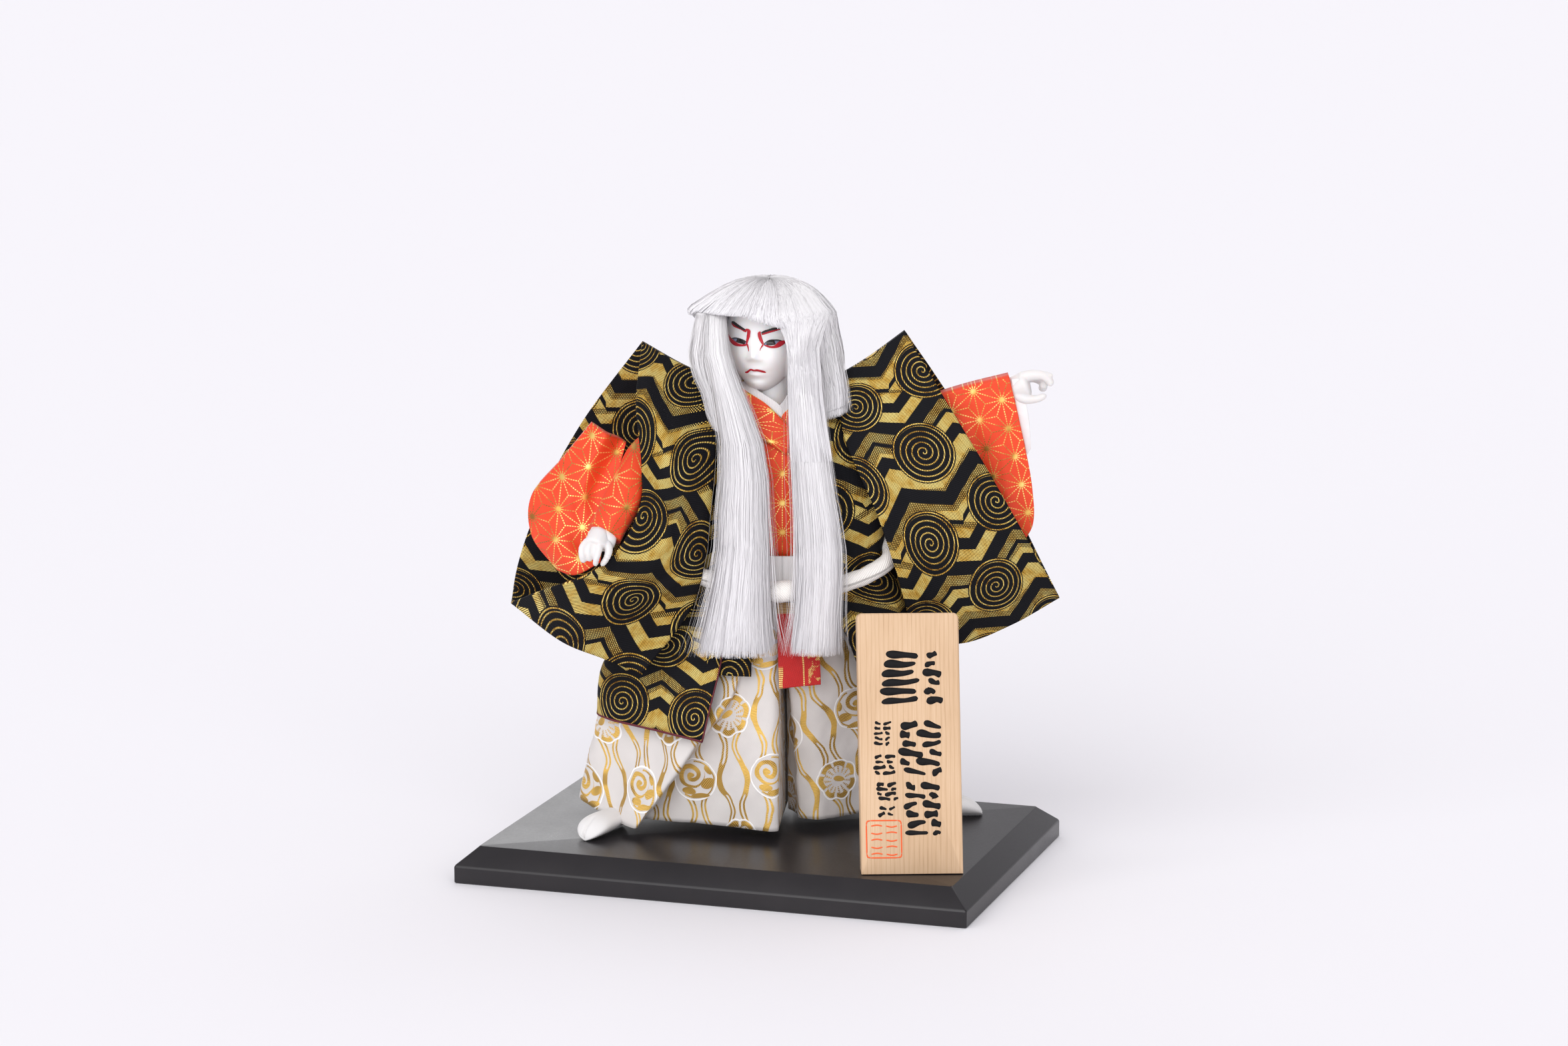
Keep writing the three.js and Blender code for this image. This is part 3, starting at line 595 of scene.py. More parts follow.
def pale_wood():
    """Planed softwood with fine upright grain."""
    f = Finish("pale wood", specular_ior_level=0.3)
    x, y = f.cloth()
    bend = f.noise(x, y / 14, size=7.0, detail=2.0)
    rings = 1 - calc("POWER", wave(x + bend * 4, 2.05), 6.0)
    fine = f.noise(x * 9, y / 5, size=3.0, detail=4.0)
    cloud = f.noise(x, y / 3, size=18.0)
    shade = rings * 0.14 + fine * 0.5 + cloud * 0.42
    colour = f.ramp(shade, (0.28, (0.46, 0.28, 0.155)), (0.5, (0.61, 0.41, 0.25)), (0.75, (0.70, 0.50, 0.33)))
    return f.made(colour, 0.5 + fine * 0.2, relief=(fine, 0.04, 0.5))


# Studio: a pale floor, an even sky and four soft lights.


def studio():
    scene = bpy.context.scene
    camera = bpy.data.objects.new("camera", bpy.data.cameras.new("camera"))
    scene.collection.objects.link(camera)
    camera.location = Vector(CAMERA_PLACE) * MM
    back = Vector((
        math.sin(CAMERA_AZIMUTH) * math.cos(CAMERA_RISE),
        -math.cos(CAMERA_AZIMUTH) * math.cos(CAMERA_RISE),
        math.sin(CAMERA_RISE),
    ))
    camera.rotation_mode = "QUATERNION"
    camera.rotation_quaternion = (-back).to_track_quat("-Z", "Y")
    camera.data.lens = CAMERA_LENS
    camera.data.sensor_width = 36
    camera.data.clip_start = 0.05
    camera.data.clip_end = 30
    scene.camera = camera

    world = bpy.data.worlds.new("studio")
    world.use_nodes = True
    sky = world.node_tree.nodes["Background"]
    sky.inputs[0].default_value = (0.97, 0.955, 1.0, 1)
    sky.inputs[1].default_value = 0.56
    scene.world = world
    scene.view_settings.view_transform = "Standard"

    lamps = {
        "key light": ((-0.35, -1.25, 0.75), 1.4, 60),
        "front light": ((0.55, -1.35, 0.5), 1.15, 70),
        "back light": ((0.2, 0.9, 1.4), 0.5, 50),
        "window light": ((-0.52, 0.83, 0.24), 0.28, 28),
    }
    for name, (toward, strength, spread) in lamps.items():
        light = bpy.data.lights.new(name, "SUN")
        light.energy = strength
        light.angle = math.radians(spread)
        item = bpy.data.objects.new(name, light)
        item.rotation_mode = "QUATERNION"
        item.rotation_quaternion = Vector(toward).to_track_quat("Z", "Y")
        scene.collection.objects.link(item)

    paper = Finish("pale paper", base_color=(0.90, 0.885, 0.915, 1), roughness=1.0, specular_ior_level=0.0)
    size = 16.0
    corners = [(-size, -size, 0), (size, -size, 0), (size, size, 0), (-size, size, 0)]
    floor = bpy.data.objects.new("floor", mesh_of("floor", corners, [[0, 1, 2, 3]]))
    floor.data.materials.append(paper.material)
    scene.collection.objects.link(floor)


studio()


# The board.


def board():
    ease, corner = 0.7, 0.9
    side, chamfer = BOARD["side"], BOARD["chamfer_in"]
    slope = math.atan2(BOARD["chamfer_up"], chamfer)
    # The edge's profile from the floor up: how far in, and how high. The side is eased into the chamfer.
    profile = [(0.5, 0), (0, 0.5), (0, side - ease)]
    for t in np.linspace(0, 1, 5):
        along, up = t * t * math.cos(slope), t * t * math.sin(slope)
        profile.append((ease * along, side - ease * (1 - t - up)))
    profile += [(chamfer - ease, BOARD_TOP - ease * 0.87), (chamfer - 0.2, BOARD_TOP - 0.1),
                (chamfer + ease, BOARD_TOP)]
    rings = []
    for inset, z in profile:
        ring = []
        for quarter, (sx, sy) in enumerate(((-1, -1), (1, -1), (1, 1), (-1, 1))):
            x = sx * (BOARD["width"] / 2 - inset - corner)
            y = sy * (BOARD["depth"] / 2 - inset - corner)
            for turn in math.pi + (quarter + np.linspace(0, 1, 5)) * math.pi / 2:
                ring.append((x + corner * math.cos(turn), y + corner * math.sin(turn), z))
        rings.append(ring)
    points, *faces = capped(np.array(rings) * MM)
    mesh = mesh_of("lacquered_board", points, *faces)
    mesh.set_sharp_from_angle(angle=math.radians(35))
    piece("lacquered_board", mesh, lacquer(), "base_lacquer", "base_board")


board()


# The coat.

BROCADE = brocade()
PIPING = plain("maroon piping", (0.16, 0.022, 0.032), (0.09, 0.011, 0.018), size=0.4)
# Each sleeve is one length of cloth, folded over the arm, with its corners shaped.
SLEEVE_CUT, SLEEVE_AREA = (75, 250), 16800


def nine(places, u, v):
    """Cloth places over a piece, from those at three by three spots of it, row by row from the top."""
    spots = np.array(places, float).reshape(3, 3, 2)

    def share(t):
        return np.stack([(1 - t) * (1 - 2 * t), 4 * t * (1 - t), t * (2 * t - 1)], axis=-1)

    return np.einsum("...i,...j,ijk->...k", share(v), share(u), spots)


def sleeve_face(side, seams, hem, inner, outer):
    """One face of a sleeve, in front of its seams (side -1) or behind them (side 1)."""
    neck, shoulder, peak, tip, corner = ((x, y + side * SEWN, z) for x, y, z in seams)
    top, bottom = path(neck, shoulder, peak), path(tip, *hem, corner)
    return patch(top, bottom, path(neck, *inner, tip), path(peak, *outer, corner))


def unevenness(u, v, seed, size, rise, *creases):
    """Relief of a sleeve in millimetres. A crease is (start, end, width, rise), in shares of the sleeve."""
    total = rise * drift(seed, u * 70, v * 130, size)
    narrow = np.array((0.6, 1))
    for start, end, width, height in creases:
        total = total + height * crease(u * narrow[0], v, start * narrow, end * narrow, width)
    return total


def sleeve(name, node, seams, front, back):
    """A sewn bag, open towards the body and at its mouth. Front and back meet along the top fold and the
    bottom seam, through the spots in seams: neck, shoulder, peak, tip and corner. Each is given by its edges
    (hem, inner and outer), its cloth places at three by three spots, and its unevenness."""
    across, down = 52, 72
    middle = (down // 2, across // 2, 1)
    u, v = grid(across, down)
    still = np.sin(math.pi * v) ** 0.5
    halves = []
    for side, (edges, places, relief) in zip((-1, 1), (front, back)):
        points = sleeve_face(side, seams, *edges)(u, v)
        out = normals(points)
        out = out * side * np.sign(out[middle])
        rise = unevenness(u, v, *relief) * still
        halves.append((points + out * rise[..., None], nine(places, u, v)))
    ring, flat = (np.concatenate([near, far[::-1], near[:1]]) for near, far in zip(*halves))
    skin = unit(np.cross(np.gradient(ring, axis=1), ring_gradient(ring)))
    skin = skin * -np.sign(skin[middle])
    rows, cols = ring.shape[:2]
    number = np.arange(rows * cols).reshape(rows, cols)
    outer, inner = strip_faces(rows, cols), strip_faces(rows, cols, number.size, flip=True)
    rims = []
    for edge in (number[::-1, 0], number[:, -1]):
        rims.append(np.stack([edge[:-1], edge[:-1] + number.size, edge[1:] + number.size, edge[1:]], axis=-1))
    layers = np.stack([ring, ring - skin * CLOTH])
    mesh = turn_out(mesh_of(name, placed(layers), outer, inner, *rims, uv=np.stack([flat, flat])))
    item = piece(name, mesh, BROCADE, "coat_brocade", node)
    sheet(item, *SLEEVE_CUT, "hung", "coat_body", SLEEVE_AREA)


sleeve(
    "coat_sleeve_right_cloth", "coat_sleeve_right",
    seams=((-20, -3, 224), (-36, -2, 231), (-54, 0, 241), (-54, -28, 94), (-114, -10, 123)),
    front=((((-72, -28, 101), (-90, -22, 107)),
            ((-21, -24, 192), (-25, -31.4, 150), (-32, -32, 125)),
            ((-56, -24, 218), (-53, -40, 191), (-54, -47, 174), (-66, -54, 153), (-79, -50, 143),
             (-97, -36, 134))),
           ((0, 38.7), (6, 50.7), (33, 60.7), (-5, -39.3), (14, -35.3), (38, -25.3), (25, -96.3),
            (51, -81.3), (90, -68.3)),
           (3, 55, 0.7, ((1.0, 0.02), (0.55, 0.30), 0.035, 1.2), ((1.0, 0.22), (0.45, 0.34), 0.03, -1.0),
            ((1.0, 0.33), (0.5, 0.5), 0.03, 1.1), ((0.1, 0.55), (0.6, 0.62), 0.04, -0.8),
            ((0.0, 0.72), (0.5, 0.66), 0.04, 0.8))),
    back=((((-72, -16, 100), (-90, -10, 106)),
           ((-34, 6, 192), (-39, 6, 160), (-44, -4, 130)),
           ((-81.5, 14, 203), (-98, 18, 173), (-111, 10, 140))),
          ((-3, 39.7), (11, 49.7), (30, 60.7), (22, -20.3), (49, -18.3), (80, -9.3), (26, -93.3),
           (58, -84.3), (96, -67.3)),
          (4, 60, 0.9)),
)
sleeve(
    "coat_sleeve_left_cloth", "coat_sleeve_left",
    seams=((32, -4, 225), (47, -3, 234), (64, 0, 246), (68, -12, 107), (135, -3, 124)),
    front=((((90, -15, 105), (113, -12, 113)),
            ((37, -21, 200), (52, -27, 165), (63.5, -24, 128)),
            ((82, -15, 217), (101, -20, 186), (119, -16, 154))),
           ((-13, 18), (4, 27), (25, 39), (6, -53), (34, -43), (60, -25), (28, -117), (62, -107), (98, -87)),
           (5, 60, 0.6, ((0.0, 0.30), (0.35, 0.12), 0.04, -1.0), ((0.02, 0.52), (0.3, 0.40), 0.04, 0.9),
            ((0.5, 0.05), (0.85, 0.55), 0.07, 0.9))),
    back=((((90, 8, 106), (113, 6, 113)),
           ((51, 7, 200), (54, 12, 165), (59, 8, 128)),
           ((85, 13, 214), (104, 15, 183), (121, 10, 151))),
          ((-13, 18), (4, 27), (25, 39), (14, -47), (40, -40), (63, -26), (26, -111), (67, -100), (104, -81)),
          (6, 60, 0.9)),
)


def coat_body():
    waist = ((-5, -22.6, 134), (-28.4, -17.5, 140), (-26.5, 16.5, 147), (8, 27, 148), (40, 19, 149),
             (54, -12, 147), (22, -22.8, 134))
    levels = [
        level(219, (-17, -8.5), (-20, 1), (-17, 12), (3, 18.6), (22, 12), (26, 1), (23.6, -7.5)),
        level(205, (-15, -18.6), (-32, -7), (-28, 16), (5, 22), (40, 16), (45, -9), (23, -19)),
        level(175, (-9, -22), (-31, -12), (-30, 18), (7, 25), (44, 19), (54, -12), (21, -22)),
        level(5, *waist),
        level(-5, *waist),
        level(118, (-14, -25.4), (-46, -20), (-44, 26), (8, 32), (52, 26), (67, -9), (34, -25)),
        level(92, (-20.5, -31), (-71.5, 2), (-56, 31), (8, 39), (60, 33), (72, 0), (45, -20)),
        level(COAT_HEM, (-27, -36, -1.5), (-75.6, 6, 2), (-60, 36), (8, 45), (70, 38), (80, 8), (54, -12)),
    ]
    across, down = 130, 72
    u, v = grid(across, down)
    points = path(*(path(*spots)(u[0]) for spots in levels))(v[:, 0])
    x = row_lengths(points)
    y = -column_lengths(points)
    # Fine pleats at the waist, where the belt gathers the coat, and wide flutes below it.
    gathers = np.exp(-(((v - 0.5) / 0.16) ** 2)) * smooth(0.0, 0.03, u) * smooth(1, 0.97, u)
    pleats = gathers * np.sin(x / 2.2 + 2 * drift(8, x, y, 40))
    flutes = smooth(0.55, 1, v)
    waves = flutes * 0.9 * drift(9, x, y * 0.2, 34) + (1 - flutes) * 0.7 * drift(10, x, y, 40)
    points = points + normals(points) * (pleats * 0.45 + waves)[..., None]
    # The cloth is cut aslant, so that its steps run level round the body. Each half starts at its front edge.
    down_cloth = column_lengths(points)
    above = down_cloth[-1:] - down_cloth
    place = np.where(u < 0.5, x, row_lengths(points, across))
    uv = grain((place - 6.8) * 0.95, above - 9.3, -STEP_SLOPE) + [0, STEP_DROP]
    mesh = cloth("coat_body_cloth", points, uv)
    edge_rows = 22
    for line, radius in ((points[-1], 0.72), (points[-edge_rows:, 0], 0.5)):
        along = unit(np.gradient(line, axis=0))
        add_tube(mesh, rings_along(line, along, [-0.3, -1, -0.2], radius, 8), material=1)
    item = piece("coat_body_cloth", mesh, [BROCADE, PIPING], "coat_brocade", "coat_body")
    sheet(item, 300, 160, "gathered", "kimono_body", 38000)


def coat_front():
    outer = path((-22, -23.4, 129), (-24.5, -25.6, 112), (-25, -27.4, 93.5))
    inner = path((-4, -23, 129), (-4.6, -25.4, 112), (-5, -27.6, 92.5))
    u, v = grid(30, 50)
    points = mix(outer(v), inner(v), u[..., None])
    points = points + normals(points) * (0.5 * drift(11, u * 20, v * 40, 22))[..., None]
    mesh = cloth("coat_front_cloth", points, np.stack([36 - 36 * v, 20 * u + 30], axis=-1))
    item = piece("coat_front_cloth", mesh, BROCADE, "coat_brocade", "coat_front_right")
    sheet(item, 20, 37, "hung", "coat_body")


coat_body()
coat_front()


# The kimono.


def asanoha():
    """Orange silk with gold stars: a grid of triangles, each divided from its middle."""
    f = Finish("kimono silk", sheen_weight=0.08, sheen_roughness=0.4)
    x, y = f.cloth()
    side = 13.4
    row = side * math.sqrt(3)

    def nearest(shift_x, shift_y):
        dx = (x + shift_x + row / 2) % row - row / 2
        dy = (y + shift_y + side / 2) % side - side / 2
        return dx, dy

    dx1, dy1 = nearest(0, 0)
    dx2, dy2 = nearest(row / 2, side / 2)
    first = calc("LESS_THAN", dx1 * dx1 + dy1 * dy1, dx2 * dx2 + dy2 * dy2)
    dx, dy = mix(dx2, dx1, first), mix(dy2, dy1, first)
    r = length(dx, dy)
    angle = calc("ARCTAN2", dy, dx)
    step = math.pi / 6
    off = (angle + step / 2) % step - step / 2
    away = r * abs(calc("SINE", off))
    cloud = f.noise(x, y, size=14.0)
    dash = wave(r + cloud, 1.15)
    line = inside(0.23 - away, 0.07) * inside(dash - 0.3 + inside(1.6 - r, 0.8) * 0.5, 0.2)
    patchy = inside(f.noise(x, y, 7.0, size=22.0, detail=1.0) - 0.36, 0.1) * 0.3 + 0.7
    gold = line * patchy
    weave = wave(x + y, 0.5) * wave(x - y, 0.5)
    ground = f.blend(cloud * 0.7 + weave * 0.3, (0.72, 0.036, 0.006), (0.88, 0.076, 0.010))
    # A noise paints the gold threads dark olive in some patches and bright in others: painted shade and
    # highlight.
    thread_painted_light = f.noise(x, y, 3.0, size=9.0, detail=2.0)
    thread = f.ramp(thread_painted_light, (0.36, (0.30, 0.15, 0.02)), (0.5, (0.85, 0.48, 0.10)), (0.62, (1.0, 0.74, 0.22)))
    height = gold * 0.8 + weave * 0.25
    return f.made(f.blend(gold, ground, thread), 0.62 - gold * 0.3, gold * 0.6, (height, 0.12, 0.7))


SILK = asanoha()
WHITE_COTTON = plain("white cotton", (0.84, 0.825, 0.82), (0.76, 0.745, 0.745), size=0.55, roughness=0.85)


def kimono_body():
    levels = [(126.4, 10, 1, 25, 19), (136, 9, 1, 24, 18), (150, 9, -1.5, 25, 20), (175, 8, -2, 28, 20.8),
              (195, 7, -1.4, 31, 19.8), (206, 6, 0, 30, 16.4), (211, 5, 0, 22, 12.5), (213, 4, 0, 12, 8.5)]
    a = circle(96)
    sin, cos, none = np.sin(a), np.cos(a), 0 * a
    rings = [np.stack([x + w * sin, y - d * cos, none + z], axis=-1) for z, x, y, w, d in levels]
    points = path(*rings)(np.linspace(0, 1, 60))
    x, z = points[..., 0], points[..., 2]
    # The two fronts lap over in a V below the neck, the viewer's right one over the other.
    lap = (x - 7) - (214.5 - z) * 0.32
    fold = np.where((cos > 0.2) & (z < 214), 0.55 * smooth(-0.4, 0.4, lap), 0)
    dents = 0.5 * drift(12, x, z, 26) * smooth(0.1, 0.6, cos)
    points = points + np.stack([sin, -cos, none], axis=-1) * (fold + dents)[..., None]
    flat = turned(points, 0, (9, 198)).reshape(-1, 2)
    spots, *faces = capped(points)
    mesh = mesh_of("kimono_body_cloth", placed(spots), *faces, uv=np.concatenate([flat, [[0, 0], [0, 0]]]))
    # The collar bands, the viewer's right one under the other.
    bands = [
        (((13, -19, 203), (8.6, -17.5, 209.2), (13.5, -14.6, 214.2), (17.5, -10.5, 218), (20.5, -2, 221.5),
          (16, 8, 222), (4, 13, 221)),
         ((14, -21.8, 195), (14, -20.6, 200), (20, -17, 204.5), (25, -13, 209), (30, -3, 212), (24, 10, 213),
          (4, 20, 212))),
        (((4, 13, 221), (-8, 8, 222), (-12.5, -2, 223), (-9.8, -11, 222.2), (-6.2, -13.6, 220),
          (0.6, -16.8, 216.2), (5, -18.2, 212.6), (8.4, -19.2, 209.2), (14.5, -20.6, 203.5)),
         ((4, 20, 212), (-16, 10, 214), (-22, -3, 213.5), (-17, -13, 211.5), (-12, -17.6, 207.5),
          (-6, -19.4, 204), (-1, -21.2, 200.6), (4, -22.2, 197.4), (11, -22.8, 193))),
    ]
    u, v = grid(60, 10)
    for upper, lower in bands:
        points = mix(path(*upper)(u), path(*lower)(u), v[..., None])
        flat = np.stack([-column_lengths(points), row_lengths(points)], axis=-1)
        merge(mesh, cloth("band", points, flat, thick=0.7))
    piece("kimono_body_cloth", mesh, SILK, "kimono_silk", "kimono_body")


def right_kimono_sleeve():
    top, mouth = (-61, -30, 198), (-76.6, -20, 207)
    bottom, end = (-72, -43, 148), (-92, -30, 142)
    front = patch(
        path(top, (-69, -27, 202.6), mouth),
        path(bottom, (-83, -38, 141.4), end),
        path(top, (-66, -38, 180), (-70, -44, 163), bottom),
        path(mouth, (-90.2, -17, 190), (-104.4, -16, 172), (-103.8, -20, 156), end),
    )
    across, down = 70, 80
    u, v = grid(across, down)
    near = front(u, v)
    swell = np.sin(math.pi * u)
    full = swell * np.sin(math.pi * (0.1 + 0.8 * v))
    folds = (1.6 * crease(u, v, (0.05, 0.9), (0.45, 0.15), 0.07)
             - 1.2 * crease(u, v, (0.2, 0.95), (0.7, 0.3), 0.06)
             + 0.8 * drift(13, u * 40, v * 60, 26) * swell * np.sin(math.pi * v))
    out = normals(near)
    out = out * -np.sign(out[down // 2, across // 2, 1])
    back = 9.5 * smooth(0.58, 0.12, u) * smooth(1.0, 0.8, v)
    far = near + ahead(5 + back + 10 * full)
    near = near + out * (folds + 2.2 * full)[..., None] + ahead(back)
    tilt, start = -0.1052, (-91.1, 169.9)
    mesh = shell("kimono_sleeve_right_cloth", near, far, turned(near, tilt, start), turned(far, tilt, start))
    arm = path((-24, -2, 198), (-40, -8, 196.5), (-52.5, -22, 190.5), (-60.6, -37.6, 177.4),
               (-69.9, -48.4, 161.8))
    rows, sides = 60, 40
    rings = tube(arm, lambda t: 10 - 1.9 * t, rows, sides)
    round_arm = np.linspace(0, 40, sides)[None, :]
    along = np.linspace(0, 60, rows)[:, None]
    ripple = 0.45 * np.sin(along / 3.1 + 3 * drift(14, round_arm, 0, 20))
    middle = arm(np.linspace(0, 1, rows))[:, None]
    rings = middle + (rings - middle) * (1 + ripple[..., None] / 10)
    bend = [[0.86, 0.5], [-0.5, 0.86]]
    add_tube(mesh, rings, flat=lambda points: (turned(points, tilt, start) + [3, 4]) @ bend)
    piece("kimono_sleeve_right_cloth", mesh, SILK, "kimono_silk", "kimono_sleeve_right")


def left_kimono_sleeve():
    top, mouth = (72, -8, 215), (111, -8, 226)
    bottom, end = (92, -6, 172), (118, -4, 149)
    front = patch(
        path(top, (92, -9, 221.4), mouth),
        path(bottom, (106, -5, 156), end),
        path(top, (78, -8, 202), (86, -7, 186), bottom),
        path(mouth, (116, -8, 205), (122, -6, 175), (122.5, -5, 158), end),
    )
    u, v = grid(60, 80)
    face = front(u, v)
    folds = (1.0 * crease(u, v, (0.75, 0.02), (0.65, 0.95), 0.09)
             - 0.9 * crease(u, v, (0.45, 0.05), (0.4, 0.9), 0.08)
             + 0.7 * drift(15, u * 40, v * 70, 30)) * np.sin(math.pi * np.clip(u * 0.9 + 0.05, 0, 1))
    near = face - ahead(folds)
    far = face + ahead(5 + 9 * np.exp(-((v / 0.28) ** 2)))
    tilt, start = 0.235, (110.8, 202.7)
    mesh = shell("kimono_sleeve_left_cloth", near, far, turned(near, tilt, start), turned(far, tilt, start))
    arm = path((42, -1, 204), (56, -2, 206), (76, -2, 209), (92, -2, 213))
    add_tube(mesh, tube(arm, lambda t: 6.4 + 0 * t, 20, 32))
    piece("kimono_sleeve_left_cloth", mesh, SILK, "kimono_silk", "kimono_sleeve_left")


kimono_body()
right_kimono_sleeve()
left_kimono_sleeve()


# The white pieces at the neck, waist and wrists, the red sash end and the belt.


def under_collar():
    f = Finish("ribbed collar")
    x, y = f.cloth()
    rib = wave(x, 0.9)
    cloud = f.noise(x, y, size=5.0)
    colour = f.blend(rib * 0.6 + cloud * 0.4, (0.78, 0.765, 0.78), (0.92, 0.905, 0.91))
    ribbed = f.made(colour, 0.8 + cloud * 0.1, relief=(rib, 0.12, 0.7))
    upper = path((8.6, -15.8, 213.6), (6.2, -15.0, 215.8), (-3, -9.4, 221), (-6.4, 1, 224.5), (4, 10.8, 226),
                 (14.4, 1, 224.5), (12.4, -9.4, 220.4), (9, -14.8, 215.6), (7, -15.2, 213.6))
    lower = path((9.4, -17.6, 208.4), (6.4, -17.0, 210.6), (-7.6, -12.4, 216), (-10.8, 1, 219.5),
                 (4, 15.2, 220), (18.8, 1, 219.5), (17, -12.4, 215.4), (10, -16.8, 210.2), (7, -17.0, 208.4))
    u, v = grid(120, 10)
    points = mix(upper(u), lower(u), v[..., None])
    uv = np.stack([row_lengths(points), -column_lengths(points)], axis=-1)
    mesh = cloth("under_collar_cloth", points, uv, thick=0.8)
    piece("under_collar_cloth", mesh, ribbed, "white_cotton", "under_collar")


def waist_sash():
    u, v = grid(120, 24)
    a = 2 * math.pi * u
    bulge = 0.6 * np.sin(math.pi * v) + 0.25 * np.sin(9 * v)
    points = np.stack([
        9 + (27.2 + bulge) * np.sin(a),
        -0.4 - (22.8 + bulge) * np.cos(a),
        WAIST + SASH_DEPTH * (0.5 - v),
    ], axis=-1)
    uv = np.stack([row_lengths(points), -column_lengths(points)], axis=-1)
    mesh = cloth("waist_sash_cloth", points, uv, thick=1.4)
    item = piece("waist_sash_cloth", mesh, WHITE_COTTON, "sash_white", "waist_sash")
    sheet(item, 158, 18, "stretched", "kimono_body")


def red_sash():
    """Red cloth with a gold line and gold figures on both sides of it, below a brown woven end."""
    f = Finish("red sash", sheen_weight=0.2)
    x, y = f.cloth()
    weave = wave(x * 0.6 + y, 0.75) * wave(x - y * 0.4, 0.9)
    cloud = f.noise(x, y, size=2.4, detail=4.0)
    ground = f.blend(weave * 0.5 + cloud * 0.5, (0.36, 0.003, 0.003), (0.66, 0.008, 0.006))
    bend = f.noise(x, y, 3.0, size=8.0, detail=1.0)
    line = inside(0.32 - abs(x - 11.4 + bend * 0.5)) * inside(wave(y, 0.8) - 0.2)
    left = inside(1.9 + bend * 2.2 - x - 1.4) * inside(wave(y, 0.75) - 0.3) * inside(-y - 28.0, 0.6)
    spray = inside(f.noise(x, y, 9.0, size=2.6, detail=2.0) - 0.56, 0.04)
    spray = spray * inside(x - 13.2) * inside(wave(y + x, 0.8) - 0.3)
    woven = inside(wave(y, 0.72) - 0.35) * inside(y + 5.0, 0.3)
    gold = most(line, left, spray * inside(-17.0 - y, 0.3))
    colour = f.blend(gold, ground, (0.86, 0.62, 0.2))
    brown = f.blend(woven * 0.8 + cloud * 0.2, (0.17, 0.055, 0.02), (0.62, 0.40, 0.17))
    colour = f.blend(inside(y + 5.0, 0.2), colour, brown)
    return f.made(colour, 0.7 - gold * 0.25, gold * 0.6, (weave * 0.6 + gold, 0.16, 0.8))


def sash_end():
    left_edge = path((6.5, -24.6, 126), (6.8, -26.4, 108), (7.5, -27.2, 87))
    right_edge = path((25, -23.4, 126), (25.6, -24.8, 108), (26.4, -26, 88.5))
    u, v = grid(40, 70)
    points = mix(left_edge(v), right_edge(v), u[..., None]) + ahead(0.5 * drift(16, u * 20, v * 36, 18))
    mesh = cloth("sash_end_cloth", points, np.stack([18.6 * u, -36 * v], axis=-1))
    item = piece("sash_end_cloth", mesh, red_sash(), "sash_red", "sash_end")
    sheet(item, 19, 39, "hung", "waist_sash")


def belt():
    f = Finish("cotton rope", sheen_weight=0.3, sheen_roughness=0.5)
    x, y = f.cloth()
    strand = wave(x + y * 1.3, 1.5)
    fine = f.noise(x, y, size=0.8, detail=4.0)
    cloud = f.noise(x, y, size=7.0)
    colour = f.blend(strand * 0.5 + fine * 0.3 + cloud * 0.3, (0.74, 0.70, 0.66), (0.93, 0.90, 0.87))
    cotton = f.made(colour, 0.8 + cloud * 0.1, relief=(strand * 0.6 + fine * 0.5, 0.3, 0.8))
    line = path((8, -27.9, 132.6), (-12, -28.2, 134.6), (-29.5, -26.2, 139.5), (-36.8, -12.5, 143.5),
                (-36.3, 8.5, 147), (-24.5, 25.5, 147), (8, 33, 147), (40, 27.6, 148.4), (50.5, 14, 150),
                (55, 2, 151.2), (57.6, -9, 149.8), (57.4, -17.4, 145), (51, -23.4, 140.6),
                (37.5, -27.4, 135.6), (21, -28, 132.8), closed=True)
    count, sides = 460, 24
    middle = line(np.linspace(0, 1, count, endpoint=False))
    along = unit(np.roll(middle, -1, axis=0) - np.roll(middle, 1, axis=0))
    run = row_lengths(middle[None]).T
    # The rope's strands twist round it: three thick ones, and finer ones the other way.
    a, lay = circle(sides)[None, :], 11
    turns = run * 2 * math.pi / lay
    twist = np.abs(np.sin((a * 3 + turns) / 2)) * 0.5 + np.abs(np.sin((a * 5 - turns * 1.4) / 2)) * 0.22
    radius = ROPE / 2 * (0.90 + 0.16 * twist + 0.03 * drift(17, run, a * 4, 12))
    rings = rings_along(middle, along, [0, 0, 1.0], radius[..., None], sides)
    uv = np.stack([run + 0 * a, a * ROPE / 2 + 0 * run], axis=-1)
    quads = strip_faces(count + 1, sides, wrap=True) % (count * sides)
    mesh = mesh_of("belt_rope_cotton", placed(rings), quads, uv=uv)
    knot = path((3.6, -28.2, 132.4), (6.2, -29.4, 132.0), (9.4, -29.8, 132.2), (12.4, -29.4, 132.6),
                (15.2, -28, 133))
    add_tube(mesh, tube(knot, lambda s: 5.0 * np.sqrt(np.clip(1 - (2 * s - 1) ** 4, 0.03, 1)), 40, 40))
    piece("belt_rope_cotton", turn_out(mesh), cotton, "belt_cotton", "belt_rope")


